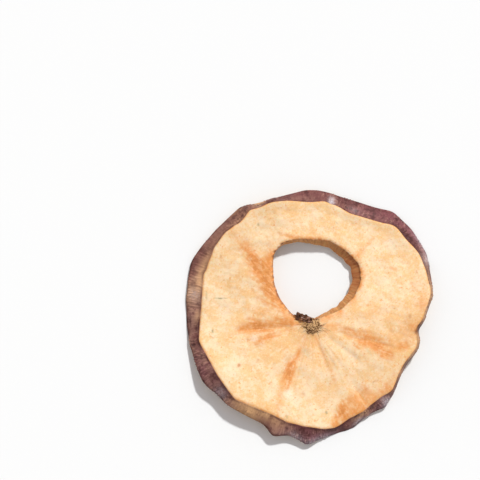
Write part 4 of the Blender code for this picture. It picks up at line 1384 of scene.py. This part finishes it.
class APPLE_RING_OT_core_remnant(bpy.types.Operator):
    """Model the grains, fibres and torn flake of core that are left beside the hole"""

    bl_idname = "apple_ring.core_remnant"
    bl_label = "Core remnant"

    # Heights in millimetres: of the ray's start, of the lowest upper face, and over the hole
    ray_start = 20
    lowest_flesh = 2.5
    edge_height = 4.4

    # Heap of grains, in millimetres, and how dark its lower grains, darkened as painted shade in the
    # gaps, and its upper grains are
    grain_count = 1150
    grain_seed = 7
    grain_presses = (0.55, 0.7, 0.85, 0.65, 0.8, 0.6)
    grain_stretch = (1.25, 0.9)
    grain_roughness = 0.28
    grain_scales = (0.5, 1.15)
    grain_sink = 0.02
    heap_centre = (0.75, -2.65)
    heap_spread = (2.05, 1.95)
    heap_power = 0.55
    heap_stray = 0.35
    heap_height = 0.34
    heap_rounding = 0.75
    shaded_layers = 0.66
    dark_on_top = 0.25
    dark_and_shaded_grain = 0.95
    tan_grain = 0.25

    # Fibres, in millimetres and degrees
    fibre_count = 22
    fibre_seed = 19
    fibre_steps = 14
    fibre_lengths = (1.4, 3.4)
    fibre_starts = (1.2, 2.2)
    fibre_scatter_deg = 7.0
    fibre_bend = 0.07
    fibre_waver = 0.05
    fibre_radius = 0.045
    fibre_taper = 0.75
    fibre_lift = 0.03
    fibre_shade = 0.6
    fibre_headings_deg = (-14.0, -3.0, 178.0, 164.0, -24.0, 192.0, -8.0, -62.0)

    # Torn flake, in millimetres and degrees
    flake_grid = (56, 40)
    flake_centre = (-1.55, -0.60)
    flake_spread = (2.45, 0.95)
    flake_turn_deg = -21.0
    flake_thickness = 0.22
    flake_lift = 0.22
    flake_curl = 0.10
    flake_shade = 0.30
    flake_edge = 0.60
    flake_edge_width = 0.4
    flake_edge_shade = 0.4
    flake_fold_shade = 1.6

    def execute(self, context):
        flesh = bpy.data.objects.get("flesh")
        if flesh is None:
            raise RuntimeError("The core remnant lies on the flesh, which isn't made yet")
        sizes = context.scene.apple_ring_sizes
        self.shift = frame_shift(sizes)
        self.surface = BVHTree.FromObject(flesh, context.evaluated_depsgraph_get())
        colours = context.scene.apple_ring_colours
        finish_piece(self.flake(), flake_material(colours))
        material = core_material(colours)
        for piece in (self.grains(sizes), self.fibres()):
            finish_piece(piece, material)
        return {"FINISHED"}

    def height(self, x, y):
        """Height of the flesh at a point in plan, in millimetres, or of its edge over the hole."""
        start = Vector(((x + self.shift[0]) * MM, (y + self.shift[1]) * MM, self.ray_start * MM))
        hit = self.surface.ray_cast(start, Vector((0.0, 0.0, -1.0)))[0]
        if hit is None or hit.z < self.lowest_flesh * MM:
            return self.edge_height
        return hit.z / MM

    def grain_shapes(self, size):
        """Uneven grains: icospheres pressed flat and roughened in edit mode."""
        shapes = []
        for seed, press in enumerate(self.grain_presses):
            bpy.ops.object.select_all(action="DESELECT")
            bpy.ops.mesh.primitive_ico_sphere_add(subdivisions=2, radius=size)
            mesh = bpy.context.object.data
            bpy.ops.object.mode_set(mode="EDIT")
            bpy.ops.mesh.select_all(action="SELECT")
            bpy.ops.transform.resize(value=(*self.grain_stretch, press))
            bpy.ops.transform.vertex_random(
                offset=self.grain_roughness * size, uniform=0.4, normal=0.6, seed=seed
            )
            bpy.ops.object.mode_set(mode="OBJECT")
            faces = np.array([list(face.vertices) for face in mesh.polygons])
            shapes.append((read_points(mesh), faces))
            bpy.data.meshes.remove(mesh)
        return shapes

    def grains(self, sizes):
        """A heap of small grains: dark ones below as painted shade in the gaps, mostly tan ones on top.
        """
        draw = np.random.default_rng(self.grain_seed)
        shapes = self.grain_shapes(sizes.grain)
        points, faces, dark = [], [], []
        count = 0
        for index in range(self.grain_count):
            reach = draw.uniform(0.0, 1.0) ** self.heap_power
            layer = draw.uniform(0.0, 1.0)
            heading = draw.uniform(0.0, 2.0 * np.pi)
            stray = 1.0 + self.heap_stray * draw.uniform(0.0, 1.0) ** 3
            ragged = stray * (0.86 + 0.16 * math.cos(3.0 * heading + 0.8) * math.sin(5.0 * heading))
            offset = ragged * reach * towards(heading) * np.array(self.heap_spread)
            x, y = np.array(self.heap_centre) + offset
            scale = draw.uniform(*self.grain_scales) * (1.1 - 0.30 * reach)
            heaped = self.heap_height * layer * (1.0 - self.heap_rounding * reach ** 2)
            lift = self.height(x, y) - self.grain_sink + heaped
            dark_or_shaded = layer < self.shaded_layers or draw.uniform() < self.dark_on_top
            shade = self.dark_and_shaded_grain if dark_or_shaded else self.tan_grain * draw.uniform(0.0, 1.0)
            turn = draw.uniform(0.0, 2.0 * np.pi)
            shape, sides = shapes[index % len(shapes)]
            cos, sin = np.cos(turn), np.sin(turn)
            spin = np.array([[cos, -sin, 0], [sin, cos, 0], [0, 0, 1]])
            place = (np.array([x, y, lift]) + self.shift) * MM
            points.append(shape @ spin.T * scale + place)
            faces.append(sides + count)
            dark.append(np.full(len(shape), shade))
            count += len(shape)
        points, faces, dark = (np.concatenate(parts) for parts in (points, faces, dark))
        mesh = bpy.data.meshes.new("core_grains")
        mesh.from_pydata(points, [], faces.tolist())
        store(mesh, "dark", dark)
        mesh.shade_smooth()
        piece = bpy.data.objects.new("core_grains", mesh)
        bpy.context.scene.collection.objects.link(piece)
        return piece

    def fibres(self):
        """Fine brown fibres that lie on the flesh and run out from the grains."""
        draw = np.random.default_rng(self.fibre_seed)
        curve = bpy.data.curves.new("core_fibres", "CURVE")
        curve.dimensions = "3D"
        curve.bevel_depth = self.fibre_radius * MM
        curve.bevel_resolution = 1
        curve.use_fill_caps = True
        for index in range(self.fibre_count):
            side = self.fibre_headings_deg[index % len(self.fibre_headings_deg)]
            heading = math.radians(side + draw.normal() * self.fibre_scatter_deg)
            length = draw.uniform(*self.fibre_lengths)
            reach = draw.uniform(*self.fibre_starts)
            place = np.array(self.heap_centre) + reach * towards(heading)
            bend = draw.normal() * self.fibre_bend
            spline = curve.splines.new("POLY")
            spline.points.add(self.fibre_steps - 1)
            for step in range(self.fibre_steps):
                share = step / (self.fibre_steps - 1)
                heading += bend + draw.normal() * self.fibre_waver
                lift = self.height(*place) + self.fibre_lift * math.sin(math.pi * share)
                point = (np.array([*place, lift]) + self.shift) * MM
                spline.points[step].co = (*point, 1.0)
                spline.points[step].radius = 1.0 - self.fibre_taper * share
                place = place + towards(heading) * length / self.fibre_steps
        piece = bpy.data.objects.new("core_fibres", curve)
        bpy.context.scene.collection.objects.link(piece)
        bpy.ops.object.select_all(action="DESELECT")
        piece.select_set(True)
        bpy.context.view_layer.objects.active = piece
        bpy.ops.object.convert(target="MESH")
        piece = bpy.context.object
        store(piece.data, "dark", np.full(len(piece.data.vertices), self.fibre_shade))
        bpy.ops.object.shade_smooth()
        return piece

    def flake(self):
        """A torn flake of core wall that hangs a little over the hole."""
        columns, rows = self.flake_grid
        bpy.ops.object.select_all(action="DESELECT")
        bpy.ops.mesh.primitive_grid_add(x_subdivisions=columns, y_subdivisions=rows, size=2.0)
        piece = bpy.context.object
        piece.name = "core_flake"
        piece.data.name = "core_flake"
        grid = read_points(piece.data)[:, :2].astype(float)
        reach = np.maximum(np.abs(grid[:, 0]), np.abs(grid[:, 1]))
        heading = np.arctan2(grid[:, 1], grid[:, 0])
        round_share = reach / np.maximum(np.hypot(grid[:, 0], grid[:, 1]), 1e-6)
        ragged = uneven(heading, 0.0, FLAKE_WAVES, 1.0)
        disc = grid * (round_share * ragged)[:, None] * np.array(self.flake_spread)
        turn = math.radians(self.flake_turn_deg)
        spin = np.array([[math.cos(turn), math.sin(turn)], [-math.sin(turn), math.cos(turn)]])
        plan = disc @ spin + np.array(self.flake_centre)
        lift = np.array([self.height(x, y) for x, y in plan])
        crumple = bumpy(plan, FLAKE_BUMPS)
        lift = lift + self.flake_lift + self.flake_curl * reach ** 2 + crumple * (0.5 + 0.5 * reach)
        write_points(piece.data, (np.column_stack([plan, lift]) + self.shift) * MM)
        # Darker at the rim, and darker in the folds as painted shade
        edge = smooth_step((reach - self.flake_edge) / self.flake_edge_width)
        dark = self.flake_shade + self.flake_edge_shade * edge - self.flake_fold_shade * crumple
        store(piece.data, "dark", np.clip(dark, 0.0, 1.0))
        piece.data.update()
        thick = piece.modifiers.new("Thickness", "SOLIDIFY")
        thick.thickness = self.flake_thickness * MM
        thick.offset = 0.0
        bpy.ops.object.modifier_apply(modifier=thick.name)
        bpy.ops.object.shade_smooth()
        return piece


class APPLE_RING_OT_stage(bpy.types.Operator):
    """Set up the white floor, the light and the camera"""

    bl_idname = "apple_ring.stage"
    bl_label = "Stage"

    def execute(self, context):
        scene = context.scene
        bpy.ops.object.select_all(action="DESELECT")
        bpy.ops.mesh.primitive_plane_add(size=FLOOR_SIZE, location=(0.0, 0.0, 0.0))
        floor = bpy.context.object
        floor.name = "floor"
        material, _, shader = new_material("white_floor", 0.8, 0.2)
        shader.inputs["Base Color"].default_value = scene.apple_ring_colours.floor
        floor.data.materials.append(material)

        world = bpy.data.worlds.new("studio")
        world.use_nodes = True
        back = world.node_tree.nodes["Background"]
        back.inputs["Color"].default_value = SKY_COLOUR
        back.inputs["Strength"].default_value = SKY_STRENGTH
        scene.world = world

        sun = bpy.data.lights.new("key", "SUN")
        sun.energy = SUN_STRENGTH
        sun.angle = math.radians(SUN_WIDTH_DEG)
        sun.color = SUN_COLOUR
        key = bpy.data.objects.new("key", sun)
        heading, elevation = math.radians(SUN_HEADING_DEG), math.radians(SUN_ELEVATION_DEG)
        towards_light = Vector((
            math.cos(heading) * math.cos(elevation),
            math.sin(heading) * math.cos(elevation),
            math.sin(elevation),
        ))
        key.rotation_mode = "QUATERNION"
        key.rotation_quaternion = towards_light.to_track_quat("Z", "Y")
        scene.collection.objects.link(key)

        half = FRAME_PIXELS / 2.0
        target = Vector((
            (half - ORIGIN_PIXEL[0]) * PIXEL_MM * MM,
            (ORIGIN_PIXEL[1] - half) * PIXEL_MM * MM,
            0.0,
        ))
        tilt = math.radians(CAMERA_ELEVATION_DEG)
        away = Vector((0.0, -math.cos(tilt), math.sin(tilt)))
        camera = bpy.data.cameras.new("camera")
        camera.sensor_width = SENSOR_MM
        camera.lens = SENSOR_MM * CAMERA_DISTANCE / (FRAME_PIXELS * PIXEL_MM * MM)
        camera.clip_start = CLIP_START
        eye = bpy.data.objects.new("camera", camera)
        eye.location = target + away * CAMERA_DISTANCE
        eye.rotation_mode = "QUATERNION"
        eye.rotation_quaternion = away.to_track_quat("Z", "Y")
        scene.collection.objects.link(eye)
        scene.camera = eye
        scene.view_settings.view_transform = "Standard"
        return {"FINISHED"}


class APPLE_RING_PT_panel(bpy.types.Panel):
    """Lists the pieces of the ring"""

    bl_idname = "APPLE_RING_PT_panel"
    bl_label = "Dried apple ring"
    bl_space_type = "VIEW_3D"
    bl_region_type = "UI"
    bl_category = "Apple ring"

    def draw(self, context):
        layout = self.layout
        for group in (context.scene.apple_ring_sizes, context.scene.apple_ring_colours):
            box = layout.box()
            for name in group.__annotations__:
                box.prop(group, name)
        for operator in OPERATORS:
            layout.operator(operator.bl_idname)


GROUPS = (AppleRingSizes, AppleRingColours)
OPERATORS = (
    APPLE_RING_OT_flesh,
    APPLE_RING_OT_peel,
    APPLE_RING_OT_core_remnant,
    APPLE_RING_OT_stage,
)


def register():
    """Register the classes and hang the settings on the scene."""
    for item in (*GROUPS, *OPERATORS, APPLE_RING_PT_panel):
        bpy.utils.register_class(item)
    bpy.types.Scene.apple_ring_sizes = bpy.props.PointerProperty(type=AppleRingSizes)
    bpy.types.Scene.apple_ring_colours = bpy.props.PointerProperty(type=AppleRingColours)


def unregister():
    """Take the settings and the classes away again."""
    del bpy.types.Scene.apple_ring_sizes
    del bpy.types.Scene.apple_ring_colours
    for item in reversed((*GROUPS, *OPERATORS, APPLE_RING_PT_panel)):
        bpy.utils.unregister_class(item)


def main():
    """Make the pieces and the stage."""
    register()
    bpy.ops.apple_ring.flesh()
    bpy.ops.apple_ring.peel()
    bpy.ops.apple_ring.core_remnant()
    bpy.ops.apple_ring.stage()


if __name__ == "__main__":
    main()
